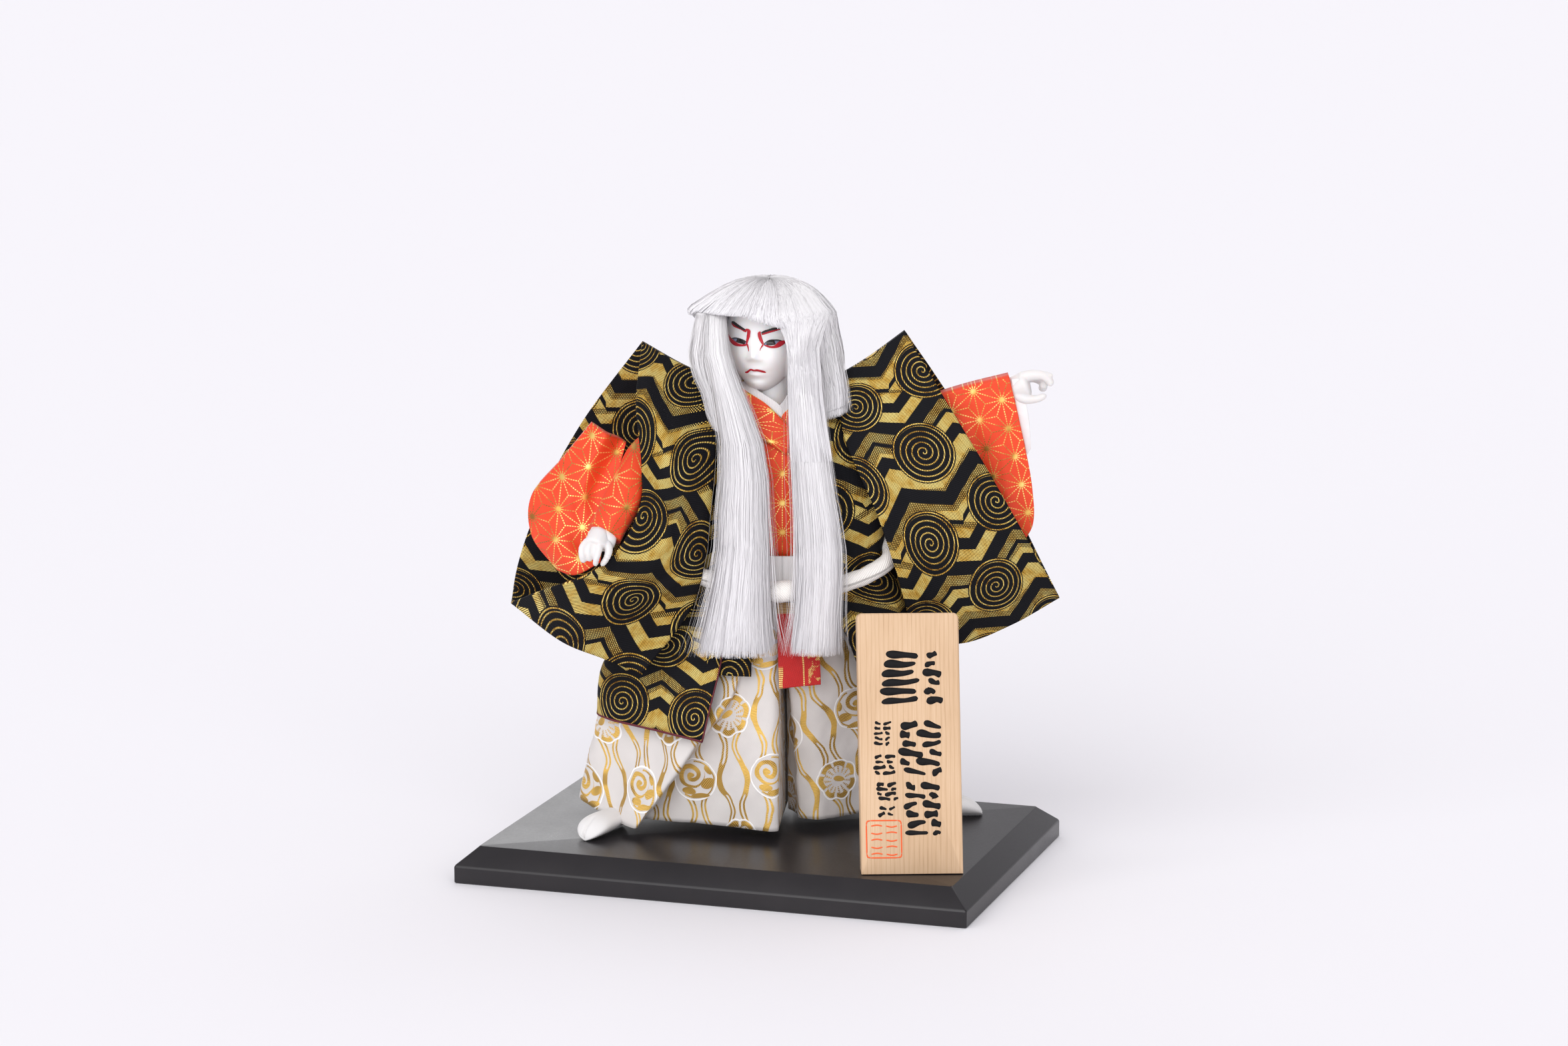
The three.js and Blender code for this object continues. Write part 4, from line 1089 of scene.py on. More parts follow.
def cuffs():
    wrist = path((-69.8, -48.2, 162.4), (-70.8, -50.2, 160.2), (-71.6, -51.8, 158.6))
    rows, sides = 16, 48
    outer = tube(wrist, lambda t: 6.3 - 0.2 * np.cos(6 * t), rows, sides)
    inner = tube(wrist, lambda t: 5.5 + 0 * t, rows, sides)[::-1]
    rings = np.concatenate([outer, inner, outer[:1]])
    ripple = 1 + 0.03 * np.sin(circle(sides) * 5 + 1)[None, :, None]
    middle = rings.mean(axis=1, keepdims=True)
    rings = middle + (rings - middle) * ripple
    faces = strip_faces(len(rings), sides, wrap=True)
    mesh = mesh_of("cuff_right_cotton", placed(rings), faces, uv=rings[..., ::2])
    piece("cuff_right_cotton", turn_out(mesh), WHITE_COTTON, "white_cotton", "cuff_right")

    inner_edge = path((112.0, -7, 224.6), (115.2, -6.4, 208), (119.6, -4.6, 190))
    outer_edge = path((115.4, -7, 225.2), (119.8, -6.4, 209), (121.4, -4.4, 193))
    u, v = grid(10, 60)
    near = mix(inner_edge(v), outer_edge(v), u[..., None]) + ahead(0.4 * drift(18, u * 4, v * 50, 14))
    far = near + [0, 6, 0]
    mesh = shell("cuff_left_cotton", near, far, turned(near, 0), turned(far, 0))
    item = piece("cuff_left_cotton", mesh, WHITE_COTTON, "white_cotton", "cuff_left")
    sheet(item, 10, 36, "folded", "kimono_sleeve_left")


under_collar()
waist_sash()
sash_end()
belt()
cuffs()


# The trousers.


def trouser_cloth():
    """Grey-white twill with gold: wavy upright lines, with curled waves and peonies in their bulges."""
    f = Finish("trouser cloth", sheen_weight=0.2, sheen_roughness=0.4)
    x, y = f.cloth()
    pitch, swing, rise = 9.3, 2.3, 29.5
    bend_x = f.noise(x, y, 1.0, size=11.0, detail=1.0) - 0.5
    bend_y = f.noise(x, y, 8.0, size=9.0, detail=1.0) - 0.5
    x, y = x + bend_x * 2.6, y + bend_y * 2.6
    swell = calc("COSINE", y * (2 * math.pi / rise))
    column = calc("FLOOR", x / pitch)
    sign = 1 - 2 * (column % 2)
    line_x = (column + 0.5) * pitch + sign * swell * swing
    off = abs(x - line_x)
    solid = inside(1.42 - off, 0.12)
    double = inside(0.48 - abs(off - 0.95), 0.1)
    lines = mix(solid, double, inside(bend_x * 2.4 - swell - 0.15, 0.12))

    # Motifs: the nearest one. Rows of peonies and of curled waves take turns.
    row = calc("ROUND", y / rise)
    odd = row % 2
    wide = 4 * pitch
    spot = x - odd * (wide / 2)
    mx = spot - calc("ROUND", spot / wide) * wide
    my = y - row * rise
    kind = 1 - odd
    r = length(mx, my)
    a = calc("ARCTAN2", my, mx)
    lobes = abs(calc("SINE", a * 3.5 + 0.6))
    rim = mix(9.7, 8.9 + lobes * 0.9, kind)
    motif = inside(rim + 0.55 - r, 0.1)
    outline = inside(0.32 - abs(r - rim - 0.3), 0.12)

    def blob(cx, cy, half_x, half_y, turn=0.0):
        cos, sin = math.cos(turn), math.sin(turn)
        px, py = mx - cx, my - cy
        return inside(1 - length((px * cos + py * sin) / half_x, (py * cos - px * sin) / half_y), 0.05)

    sx, sy = mx - 1.7, my - 2.4
    sr = length(sx, sy)
    sa = calc("ARCTAN2", sy, sx) / (2 * math.pi)
    curl = inside(0.27 - abs((sr / 3.9 + sa + 0.15) % 1.0 - 0.5), 0.04) * inside(6.3 - sr)
    arc = inside(0.4 - abs(r - 8.7)) * inside(-mx - my * 0.4 + 3)
    wave_parts = most(
        curl, blob(1.7, 2.4, 1.3, 1.1), blob(-5.6, -1.9, 3.5, 2.1, -0.3), blob(3.6, -5.2, 3.2, 1.7, 0.2),
        blob(-1.8, -7.6, 4.6, 1.3), blob(-6.4, 4.2, 2.4, 1.5, 1.1), arc)
    petals = inside(1.15 - abs(r - rim + 1.5)) * inside(lobes - 0.28, 0.08)
    ticks = inside(calc("COSINE", a * 15) - 0.25, 0.15) * inside(1.5 - abs(r - 5.2))
    peony_parts = most(petals, ticks * inside(wave(r, 0.9) - 0.3), blob(0.6, 0.2, 3.0, 1.3, -0.5))
    parts = mix(wave_parts, peony_parts, kind) * motif
    gold = most(lines * (1 - motif), parts)
    # Gold is laid in fine level threads, and turns dotted where it lies in shade.
    threads = wave(y + x * 0.15, 0.62)
    patchy = f.noise(x, y, 4.0, size=13.0, detail=1.0)
    dots = wave(x + y, 1.0) * wave(x - y, 1.0) * 1.6
    shaded = inside(patchy - 0.5, 0.04)
    broken = mix(inside(threads - 0.12, 0.3), inside(dots - 0.3, 0.2) * 0.75, shaded)
    twill = wave(x * 1.25 + y, 0.62) * 0.7 + wave(x * 0.6 - y * 1.2, 0.66) * 0.3
    cloud = f.noise(x, y, size=9.0)
    ground = f.blend(twill * 0.6 + cloud * 0.4, (0.56, 0.525, 0.51), (0.80, 0.76, 0.735))
    ground = f.blend(outline, ground, (0.97, 0.95, 0.94))
    gold_colour = f.blend(broken * 0.85 + cloud * 0.15, (0.25, 0.125, 0.022), (0.96, 0.61, 0.14))
    height = twill * 0.45 + outline * 0.9 + gold * broken * 0.6
    return f.made(f.blend(gold, ground, gold_colour), 0.66 - gold * 0.28, gold * 0.5, (height, 0.16, 0.8))


TROUSER_CLOTH = trouser_cloth()


def trouser_leg(name, node, levels, side, anchor, slant, start, cut, area):
    """One pleated leg: a hollow skirt of cloth, lined, through outlines at four heights. Its inner side
    lies along the slanting plane between the legs. The pattern is measured from one column, the anchor."""
    around, down, lining = 180, 54, 1.3
    t = np.linspace(0, 1, around, endpoint=False)
    v = np.linspace(0, 1, down + 1)[:, None]
    points = path(*(path(*spots, closed=True)(t) for spots in levels))(v[:, 0])
    points = np.concatenate([points, points[:, :1]], axis=1)
    x = row_lengths(points, anchor)
    y = points[..., 2]
    out = unit(np.cross(np.gradient(points, axis=0), ring_gradient(points.swapaxes(0, 1)).swapaxes(0, 1)))
    # The normals are turned outwards, which is towards the viewer at the front of any one row.
    row = 40
    out = out * -np.sign(out[row, np.argmin(points[row, :, 1]), 1])
    folds = 0.8 * drift(20 + side, x, y * 0.35, 30) + 0.35 * drift(23 + side, x, y, 14)
    run = np.linspace(0, 1, around + 1)
    seam = smooth(0.0, 0.03, run) * smooth(1.0, 0.97, run)
    points = points + out * (smooth(0.1, 0.6, v) * folds * seam)[..., None]
    out[:, -1] = out[:, 0]
    plane = 10 + points[..., 1] / 12 + side * 0.6
    inner = points - out * lining
    keep = np.minimum if side < 0 else np.maximum
    points[..., 0] = keep(points[..., 0], plane)
    inner[..., 0] = keep(inner[..., 0], plane + side * lining)
    ring = np.concatenate([points, inner[::-1], points[:1]])
    uv = grain(x, y, slant, start)
    flat = np.concatenate([uv, uv[::-1], uv[:1]])
    mesh = mesh_of(name, placed(ring), strip_faces(len(ring), around + 1), uv=flat)
    item = piece(name, turn_out(weld(mesh)), TROUSER_CLOTH, "trouser_cloth", node)
    sheet(item, *cut, "gathered", "waist_sash", area)


trouser_leg(
    "trouser_leg_right_cloth", "trouser_leg_right",
    [level(126, (13, -10), (6, -18), (1, -18.8), (-2, -18.6), (-6, -17.6), (-9, -15), (-12, -13), (-16, -3),
           (-14, 8), (-7, 16), (2, 18), (14, 10)),
     level(88, (12, -10), (6, -23), (0, -23.6), (-6, -22.4), (-10, -21.6), (-12, -24.6), (-40, -12), (-66, 4),
           (-52, 21), (-28, 27), (-3, 27), (15, 22)),
     level(58, (12, -11), (5.2, -26.2), (-10, -23.6), (-26, -18), (-29, -17.6), (-32, -26.4), (-56, -6),
           (-77.5, 9), (-66, 29), (-34, 35), (-4, 35), (16, 31)),
     level(HEM, (12, -12), (5.4, -27.4, -0.5), (-18, -19), (-50, -9), (-54, -8), (-57.6, -21.2, -0.8),
           (-72.4, -3.6, 1.2), (-85, 12, 6), (-70, 34, 3), (-36, 39), (-4, 39), (16, 35))],
    side=-1, anchor=18, slant=-0.12, start=(19.8, 73.3), cut=(300, 108), area=25000,
)
trouser_leg(
    "trouser_leg_left_cloth", "trouser_leg_left",
    [level(126, (9, 4), (11, -8), (12, -15.2), (13.6, -16.8), (20, -18), (29, -14), (35, -2), (31, 12),
           (20, 18), (9, 17)),
     level(88, (10, 8), (12, -4), (12.2, -13.8), (13.6, -15.6), (25, -17), (42, -10), (62, 4), (58, 22),
           (34, 28), (11, 26)),
     level(58, (10.5, 11), (14, 0), (14.2, -9), (15.8, -10.6), (26, -11), (44, -4), (74, 10), (68, 32),
           (38, 38), (11, 33)),
     level(HEM, (11, 15), (16, 3), (16.8, -4.2), (18.6, -5.8), (26, -8), (46, 5), (81, 17, 5), (76, 38, 3),
           (42, 44), (11, 38))],
    side=1, anchor=66, slant=0.3, start=(12.5, 39.2), cut=(215, 108), area=18000,
)


# Head, hands and feet.


def skin_finish(name, colour):
    f = Finish(name, subsurface_weight=0.5, subsurface_scale=0.005, subsurface_radius=(1.0, 0.7, 0.55))
    spot = f.place()
    cloud = f.noise(*spot, size=8.0)
    colour = f.blend(cloud, tuple(c * 0.965 for c in colour), colour)
    return f.made(colour, 0.36 + cloud * 0.12, relief=(f.noise(*spot, size=0.9, detail=2.0), 0.01, 0.4))


def eye_finish(name, *stops):
    """Painted stripes across an eye, from (place, colour) stops, darkened at the top by painted lid shade."""
    f = Finish(name, roughness=0.08, coat_weight=0.8, coat_roughness=0.05)
    x, y = f.cloth()
    streak = f.noise(x * 9, y * 2, size=1.0, detail=2.0)
    colour = f.ramp(x + (streak - 0.5) * 0.05, *stops)
    # Painted shade of the upper lid: the eye turns near black towards its upper edge.
    return f.made(f.blend(calc("MULTIPLY", y, 2.2, clamp=True), (0.008, 0.008, 0.01), colour))


# Face and hands are one gofun white, in a lit copy for the face and a copy in painted shade for the hands.
SKIN = skin_finish("painted gofun", (0.985, 0.95, 0.93))
HAND_SKIN_PAINTED_DARKER = skin_finish("hands in painted shade", (0.74, 0.72, 0.712))
HEAD = {"x": 0.8, "y": -2, "z": 243.5, "half_width": 16.8, "half_depth": 17.4, "half_height": 24.8,
        "turn": 0.26}

# Relief of the face: rise, side, height and the two spreads, all in millimetres from the head's middle.
# What lies to a side is there on both sides.
FACE = (
    (0.5, 0, 3.0, 2.4, 2.8), (0.8, 0, 0.2, 2.1, 2.4), (1.4, 0, -2.8, 2.0, 2.4), (2.6, 0, -6.0, 2.2, 2.0),
    (1.0, 0, -7.4, 2.4, 1.1), (0.8, 2.6, -7.8, 1.3, 1.1), (-1.0, 7.4, 2.6, 4.6, 2.0),
    (0.8, 7.4, -0.2, 3.8, 1.6), (0.4, 7.0, 6.0, 5.0, 1.6), (0.9, 8.0, -8.5, 4.4, 4.4),
    (0.8, 0, -12.8, 3.8, 1.1), (-0.5, 0, -13.9, 4.6, 0.45), (1.1, 0, -15.3, 3.0, 1.0),
    (-0.6, 0, -17.6, 4.0, 1.0), (2.0, 0, -20.6, 4.6, 2.8), (-0.5, 11.5, -15.0, 3.5, 5.0),
)

# Painted strokes through (x, height, width) spots, as seen from the front.
CRIMSON_STROKES = (
    ((-13.6, 252.0, 0.41), (-12.5, 250.7, 0.93), (-10.9, 249.9, 0.93), (-9.3, 249.2, 0.86),
     (-7.9, 248.4, 0.99), (-6.9, 248.2, 1.23)),
    ((-7.7, 248.7, 0.82), (-6.7, 248.8, 1.03), (-6.0, 248.2, 1.54), (-6.0, 247.1, 1.44), (-6.2, 245.7, 1.44),
     (-6.5, 244.5, 1.13), (-6.8, 243.3, 0.93), (-6.9, 242.3, 0.62)),
    ((-6.8, 242.5, 0.72), (-6.4, 241.3, 0.62), (-6.1, 240.1, 0.41), (-6.0, 239.0, 0.16)),
    ((-15.1, 247.1, 0.16), (-14.7, 245.7, 0.62), (-14.0, 244.3, 1.34), (-13.0, 243.2, 1.65),
     (-11.7, 242.3, 1.54), (-10.3, 241.9, 1.13), (-8.7, 241.8, 0.86), (-7.3, 242.0, 0.82),
     (-6.7, 242.3, 0.41)),
    ((-0.3, 246.7, 0.82), (1.3, 247.2, 0.86), (2.9, 247.7, 0.82), (4.7, 248.2, 0.78), (6.7, 248.7, 0.62),
     (8.7, 249.2, 0.29)),
    ((-0.6, 247.7, 0.93), (-1.3, 247.3, 1.23), (-1.2, 246.3, 1.54), (-0.8, 244.9, 1.54), (-0.3, 243.7, 1.34),
     (0.3, 242.5, 0.93), (0.5, 242.0, 0.51)),
    ((0.5, 242.1, 0.72), (-0.2, 241.2, 0.58), (-0.7, 240.3, 0.37), (-1.1, 239.3, 0.16)),
    ((0.8, 241.9, 0.41), (2.3, 241.4, 0.82), (3.9, 241.0, 0.93), (5.5, 241.1, 1.23), (6.7, 241.6, 1.85),
     (8.1, 242.5, 2.26), (9.3, 243.1, 1.85), (10.4, 243.8, 0.82)),
    ((-7.7, 229.6, 0.62), (-6.7, 229.7, 0.93), (-5.9, 230.3, 0.82), (-5.1, 230.8, 0.78), (-3.7, 230.4, 0.78),
     (-2.3, 230.5, 0.93), (-0.9, 230.2, 0.93), (0.7, 229.8, 0.86), (1.7, 229.5, 0.51)),
)
BLACK_STROKES = (
    ((-13.5, 252.5, 0.82), (-12.6, 251.9, 1.23), (-11.3, 250.9, 1.28), (-9.9, 250.0, 1.13),
     (-8.7, 249.3, 0.93), (-7.5, 248.7, 0.62)),
    ((-0.5, 247.3, 0.62), (1.1, 248.0, 0.93), (2.7, 248.5, 0.93), (4.3, 249.0, 1.03), (5.9, 249.3, 0.93),
     (7.3, 249.5, 0.62), (8.7, 249.7, 0.21)),
    ((-13.7, 244.9, 0.25), (-12.3, 245.1, 0.37), (-10.7, 244.9, 0.41), (-9.1, 244.4, 0.41),
     (-7.7, 243.8, 0.33), (-6.7, 243.0, 0.16)),
    ((0.7, 242.3, 0.21), (1.7, 243.2, 0.29), (3.3, 244.0, 0.41), (5.5, 244.2, 0.37), (7.5, 244.1, 0.41),
     (8.9, 243.8, 0.25)),
)
# Each eye lies between its upper and its lower lid.
EYES = (
    (((-13.6, 244.9), (-12.3, 245.1), (-10.7, 245.0), (-9.1, 244.5), (-7.7, 243.9), (-6.7, 243.0)),
     ((-13.6, 244.9), (-13.0, 244.4), (-12.1, 243.5), (-10.9, 242.9), (-9.3, 242.5), (-7.9, 242.2),
      (-6.7, 242.4))),
    (((0.7, 242.1), (1.3, 242.9), (2.5, 243.7), (3.9, 244.1), (5.5, 244.2), (7.1, 244.2), (8.7, 243.9)),
     ((0.7, 242.0), (1.5, 241.9), (2.9, 241.8), (4.7, 241.9), (6.3, 242.3), (7.7, 243.0), (8.7, 243.8))),
)
# Paint is laid on from this spot far in front, by way of a plane across the face.
PAINT_PLANE = -17.0
PAINT_FROM = (9.7, -1926, 526.2)


def head_points(around, tilt):
    across = np.sin(around) * np.cos(tilt)
    forward = np.cos(around) * np.cos(tilt)
    up = np.sin(tilt)
    side = across * HEAD["half_width"] * (1 - 0.17 * smooth(0.1, 1, -up))
    rise = up * HEAD["half_height"] * (1 + 0.02 * smooth(0, 1, -up)) + 0 * around
    front = forward * HEAD["half_depth"]
    facing = smooth(0, 0.35, forward)
    for height, at, place, wide, tall in FACE:
        for spot in (-at, at) if at else (0,):
            away = ((side - spot) / wide) ** 2 + ((rise - place) / tall) ** 2
            front = front + height * facing * np.exp(-away)
    cos, sin = math.cos(HEAD["turn"]), math.sin(HEAD["turn"])
    return np.stack([
        HEAD["x"] + side * cos - front * sin,
        HEAD["y"] - front * cos - side * sin,
        HEAD["z"] + rise,
    ], axis=-1)


def stroke_edges(spots, density, square, least_width):
    """The two edges of a stroke through (x, y, width) spots. The higher square is, the blunter its ends."""
    t = np.linspace(0, 1, density * len(spots))
    line = path(*spots)(t)
    half = line[:, 2] / 2 * np.sqrt(np.clip(1 - (2 * t - 1) ** square, least_width, 1))
    along = unit(np.gradient(line[:, :2], axis=0))
    across = np.stack([-along[:, 1], along[:, 0]], axis=-1) * half[:, None]
    return line[:, :2] + across, line[:, :2] - across


def head():
    a = circle(176)[None, :] + math.pi
    tilt = np.linspace(-0.4925 * math.pi, 0.4925 * math.pi, 106)[:, None]
    points, *faces = capped(head_points(a, tilt))
    mesh = mesh_of("head_gofun", placed(points), *faces)
    mesh.uv_layers.new(name="cloth")
    turn_out(mesh)
    skull = BVHTree.FromPolygons(points.tolist(), [face for part in faces for face in part.tolist()])
    neck = path((4.6, -1, 209), (4, -1, 217), (3.4, -1, 226), (1, 0, 240))
    add_tube(mesh, tube(neck, lambda t: 8.1 + 0.25 * np.cos(5 * t), 24, 48))
    start = Vector(PAINT_FROM)

    def onto(x, z, lift):
        """The spot on the face behind a place on the plane, raised by lift."""
        aim = Vector((float(x), PAINT_PLANE, float(z)))
        spot, normal, _, _ = skull.ray_cast(start, (aim - start).normalized())
        if spot is None:
            spot, normal, _, _ = skull.find_nearest(aim)
        if normal.dot(start - spot) < 0:
            normal = -normal
        return np.array(spot + normal * lift)

    def painted(edges, lift, material):
        """A thin painted shape between two lines across the face."""
        top, bottom = edges
        rows = [mix(top, bottom, s) for s in np.linspace(0, 1, 7)]
        outside, under = (
            np.array([[onto(x, z, rise) for x, z in row] for row in rows]) for rise in (lift, -0.12)
        )
        flat = np.stack(grid(len(top) - 1, len(rows) - 1), axis=-1)
        merge(mesh, shell("part", outside, under, flat, flat), material)

    for material, (strokes, lift) in enumerate(((CRIMSON_STROKES, 0.07), (BLACK_STROKES, 0.10)), 1):
        for spots in strokes:
            painted(stroke_edges(spots, 8, 16, 0.02), lift, material)
    for material, lids in enumerate(EYES, 3):
        painted([path(*lid)(np.linspace(0, 1, 40)) for lid in lids], 0.05, material)

    crimson = paint("crimson paint", 1.6, (0.40, 0.008, 0.018), (0.62, 0.018, 0.035), 0.4, 0.15)
    black = paint("black paint", 1.2, (0.006, 0.006, 0.008), (0.03, 0.028, 0.03), 0.35, 0.2)
    # corner, the pale blue beside each iris, is a painted reflection.
    white, corner, grey = (0.12, 0.14, 0.2), (0.24, 0.28, 0.42), (0.15, 0.15, 0.2)
    rim, brown = (0.008, 0.008, 0.009), (0.045, 0.026, 0.024)
    right = eye_finish(
        "right eye", (0.0, rim), (0.10, white), (0.36, corner), (0.40, rim), (0.47, brown), (0.57, rim),
        (0.67, rim), (0.76, brown), (0.83, rim), (0.89, corner), (1.0, rim))
    left = eye_finish(
        "left eye", (0.0, rim), (0.07, white), (0.2, corner), (0.25, rim), (0.31, brown), (0.38, rim),
        (0.48, rim), (0.56, brown), (0.62, rim), (0.68, corner), (0.80, grey), (0.9, rim), (1.0, rim))
    piece("head_gofun", mesh, [SKIN, crimson, black, right, left], "skin", "head")


def moulded(name, parts, voxel):
    """Closed parts melted into one smooth body."""
    points, faces, start = [], [], 0
    for spots, *shapes in parts:
        points.append(spots)
        faces += [shape + start for shape in shapes]
        start += len(spots)
    rough = turn_out(mesh_of("rough", placed(np.concatenate(points)), *faces))
    item = bpy.data.objects.new("rough", rough)
    bpy.context.scene.collection.objects.link(item)
    melt = item.modifiers.new("melt", "REMESH")
    melt.mode = "VOXEL"
    melt.voxel_size = voxel * MM
    soften = item.modifiers.new("soften", "SMOOTH")
    soften.factor = 0.5
    soften.iterations = 2
    mesh = bpy.data.meshes.new_from_object(item.evaluated_get(bpy.context.evaluated_depsgraph_get()))
    bpy.data.objects.remove(item)
    bpy.data.meshes.remove(rough)
    mesh.name = name
    mesh.shade_smooth()
    return mesh


def digit(radii, *joints):
    """A finger or thumb through its joints, with a round tip."""

    def radius(t):
        tip = np.clip((t - 0.86) / 0.14, 0, 1) ** 2.2
        return mix(*radii, t) * np.sqrt(np.clip(1 - tip, 0.02, 1))

    return capped(tube(path(*joints), radius, 26, 16))


def wrist(slim, widening, *spots):
    """The part of a hand inside the sleeve, with blunt ends."""

    def radius(t):
        return (slim + widening * t) * np.sqrt(np.clip(1 - np.abs(2 * t - 1) ** 6, 0.05, 1))

    return capped(tube(path(*spots), radius, 24, 24))


def hands():
    parts = [
        wrist(4.5, 1.3, (-70.8, -49.5, 164), (-72.4, -53.2, 160.4), (-73.8, -55.4, 157.2)),
        digit((1.85, 1.15), (-71.6, -57.0, 159.6), (-72.1, -59.2, 156.4), (-73.0, -59.9, 153.2),
              (-73.6, -58.2, 149.6)),
        digit((2.1, 1.2), (-69.4, -54, 160.4), (-67.6, -56.8, 157), (-68.4, -58.4, 153.4),
              (-71.0, -57.4, 149.4)),
    ]
    for i in range(3):
        x, z, drop = -79.2 + 2.75 * i, 158.6 + 0.2 * i, 7.6 - 0.6 * i
        knuckles = (x, -57.6, z - 1.0), (x - 0.1, -58.7, z - 4.2)
        parts.append(digit((1.75, 1.4), (x + 2.2, -55.2, z + 1.6), *knuckles, (x + 0.8, -57.4, z - drop)))
    mesh = moulded("hand_right_gofun", parts, 0.34)
    piece("hand_right_gofun", mesh, HAND_SKIN_PAINTED_DARKER, "skin", "hand_right")
    parts = [
        wrist(4.9, 1.7, (110.5, -2, 219), (115.4, -2, 220.6), (120.6, -2.4, 222.4)),
        digit((2.7, 1.5), (116.6, -3.4, 225.2), (122.2, -4.4, 226.4), (126.6, -4.8, 226), (129.2, -5, 223.9),
              (130.2, -5.2, 221.4)),
        digit((2.0, 1.2), (122, -4.2, 226.2), (126.8, -4.6, 226.6), (130.8, -4.8, 225.8)),
        digit((2.7, 1.35), (114, -4.4, 217.4), (118.2, -6, 215.8), (123.6, -6.4, 215.9), (128, -6.2, 217.6)),
    ]
    for i in range(3):
        y = -0.7 + 2.3 * i
        knuckles = (122.6, y, 225.8 - 0.9 * i), (127, y, 223.6 - i)
        parts.append(digit((2.5, 1.9), (116.6, y, 224.4 - 0.7 * i), *knuckles, (126.4, y, 219.4 - i)))
    mesh = moulded("hand_left_gofun", parts, 0.36)
    piece("hand_left_gofun", mesh, HAND_SKIN_PAINTED_DARKER, "skin", "hand_left")


def foot(name, heel, toe, node):
    """A foot in a white split-toed sock. The cleft for the big toe is towards the viewer's left."""
    heel, toe = np.array((*heel, 0.0)), np.array((*toe, 0.0))
    run = np.linalg.norm(toe - heel)
    along = (toe - heel) / run
    across = np.array((-along[1], along[0], 0))
    rows, sides = 60, 56
    # s runs from the heel to the toes, and a round the foot.
    s = 0.02 + 0.98 * np.linspace(0, 1, rows)[:, None]
    a = circle(sides)[None, :]
    heel_width, swell, toe_height, rise = 6.2, 1.6, 1.3, 8.3
    rounding = np.sqrt(1 - 0.985 * np.clip((s - 0.66) / 0.34, 0, 1) ** 2.6)
    side = np.cos(a) * (heel_width + swell * smooth(0.0, 0.6, s)) * rounding
    height = toe_height + rise * (1 - np.clip((s - 0.5) / 0.5, 0, 1) ** 2.7) ** 0.75
    cleft_at, cleft_width, cleft_depth = -1.2, 0.5, 2.1
    groove = np.exp(-(((side - cleft_at) / cleft_width) ** 2))
    groove = groove * smooth(0.62, 0.8, s) * smooth(-0.3, 0.4, np.sin(a))
    lift = ((np.sin(a) + 1) / 2) ** 0.75 * height - groove * cleft_depth
    nose = -groove * smooth(0.9, 1, s) * 1.8
    rings = heel + (s * run + nose)[..., None] * along + side[..., None] * across
    rings[..., 2] += lift + BOARD_TOP + GAP
    points, *faces = capped(rings)
    mesh = turn_out(mesh_of(name, placed(points), *faces, uv=points[:, :2]))
    piece(name, mesh, WHITE_COTTON, "white_cotton", node)


head()
hands()
foot("foot_right_sock", (-64.5, 1), (-80.6, -28), "foot_right")
foot("foot_left_sock", (66, 18), (102, 19.6), "foot_left")


# The title board.


def title_frame():
    """The title board's own frame: its front lower edge, then along its width, up its face and through it."""
    lean, turn, roll = TITLE_SPOT["lean"], TITLE_SPOT["turn"], TITLE_SPOT["roll"]
    turning = Matrix.Rotation(turn, 3, "Z")
    right = turning @ Vector((1, 0, 0))
    up = turning @ Vector((math.sin(roll), math.sin(lean), math.cos(lean)))
    through = turning @ Vector((0, math.cos(lean), -math.sin(lean)))
    corner = Vector((TITLE_SPOT["x"], TITLE_SPOT["front"], BOARD_TOP + GAP))
    return [np.array(v) for v in (corner, right, up, through)]


def on_title(x, y, z):
    """A point x along from the middle, y up the face and z behind it."""
    corner, right, up, through = title_frame()
    x, y, z = (np.asarray(value, float)[..., None] for value in (x, y, z))
    return corner + right * x + up * y + through * z


def title_board():
    w, h, thick, corner_radius = TITLE["width"] / 2, TITLE["height"], TITLE["thick"], TITLE["corner"]

    def outline(inset, depth):
        """One outline of the board at a depth from its face, drawn in by inset."""
        spots = []
        radius = corner_radius - inset
        for side, start in ((1, 0), (-1, 90)):
            for angle in np.radians(np.linspace(start, start + 90, 8)):
                spots.append((side * (w - corner_radius) + radius * math.cos(angle),
                              h - corner_radius + radius * math.sin(angle)))
        heights = np.linspace(3, h - 6, 24)
        foot_line = math.tan(TITLE_SPOT["lean"]) * depth + inset * 0.3
        spots += [(-w + inset, y) for y in (*heights[::-1], foot_line)]
        spots += [(w - inset, y) for y in (foot_line, *heights)]
        return on_title(*np.transpose(spots), depth)

    ease = TITLE["edge"]
    steps = [(ease * (1 - math.sin(b)), ease * (1 - math.cos(b))) for b in np.linspace(0, math.pi / 2, 5)]
    profile = steps + [(inset, thick - depth) for inset, depth in steps[::-1]]
    points, *faces = capped(np.array([outline(*spot) for spot in profile]))
    corner, right, up, through = title_frame()
    local = points - corner
    flat = np.stack([local @ right + 0.4 * (local @ through), local @ up], axis=-1)
    mesh = turn_out(mesh_of("title_board_wood", placed(points), *faces, uv=flat))
    mesh.set_sharp_from_angle(angle=math.radians(50))
    title_marks(mesh)
    dull = {"specular_ior_level": 0.15}
    ink = paint("brush ink", 1.2, (0.003, 0.003, 0.004), (0.014, 0.013, 0.014), 0.5, 0.3, **dull)
    seal = paint("orange seal", 0.9, (0.78, 0.085, 0.015), (0.92, 0.15, 0.03), 0.5, 0.2)
    piece("title_board_wood", mesh, [pale_wood(), ink, seal], "title_wood", "title_board")


def mark(mesh, spots, material):
    """One stroke on the title board through (x, y, width) spots, in millimetres from its top left corner."""
    spots = [(x - TITLE["width"] / 2, TITLE["height"] - y, width) for x, y, width in spots]
    top, bottom = stroke_edges(spots, 7, 12, 0.05)
    near, far = (
        np.array([on_title(*mix(top, bottom, s).T, depth) for s in (0, 0.5, 1)]) for depth in (-0.06, 0.2)
    )
    flat = np.zeros((*near.shape[:2], 2))
    merge(mesh, shell("part", near, far, flat, flat), material)


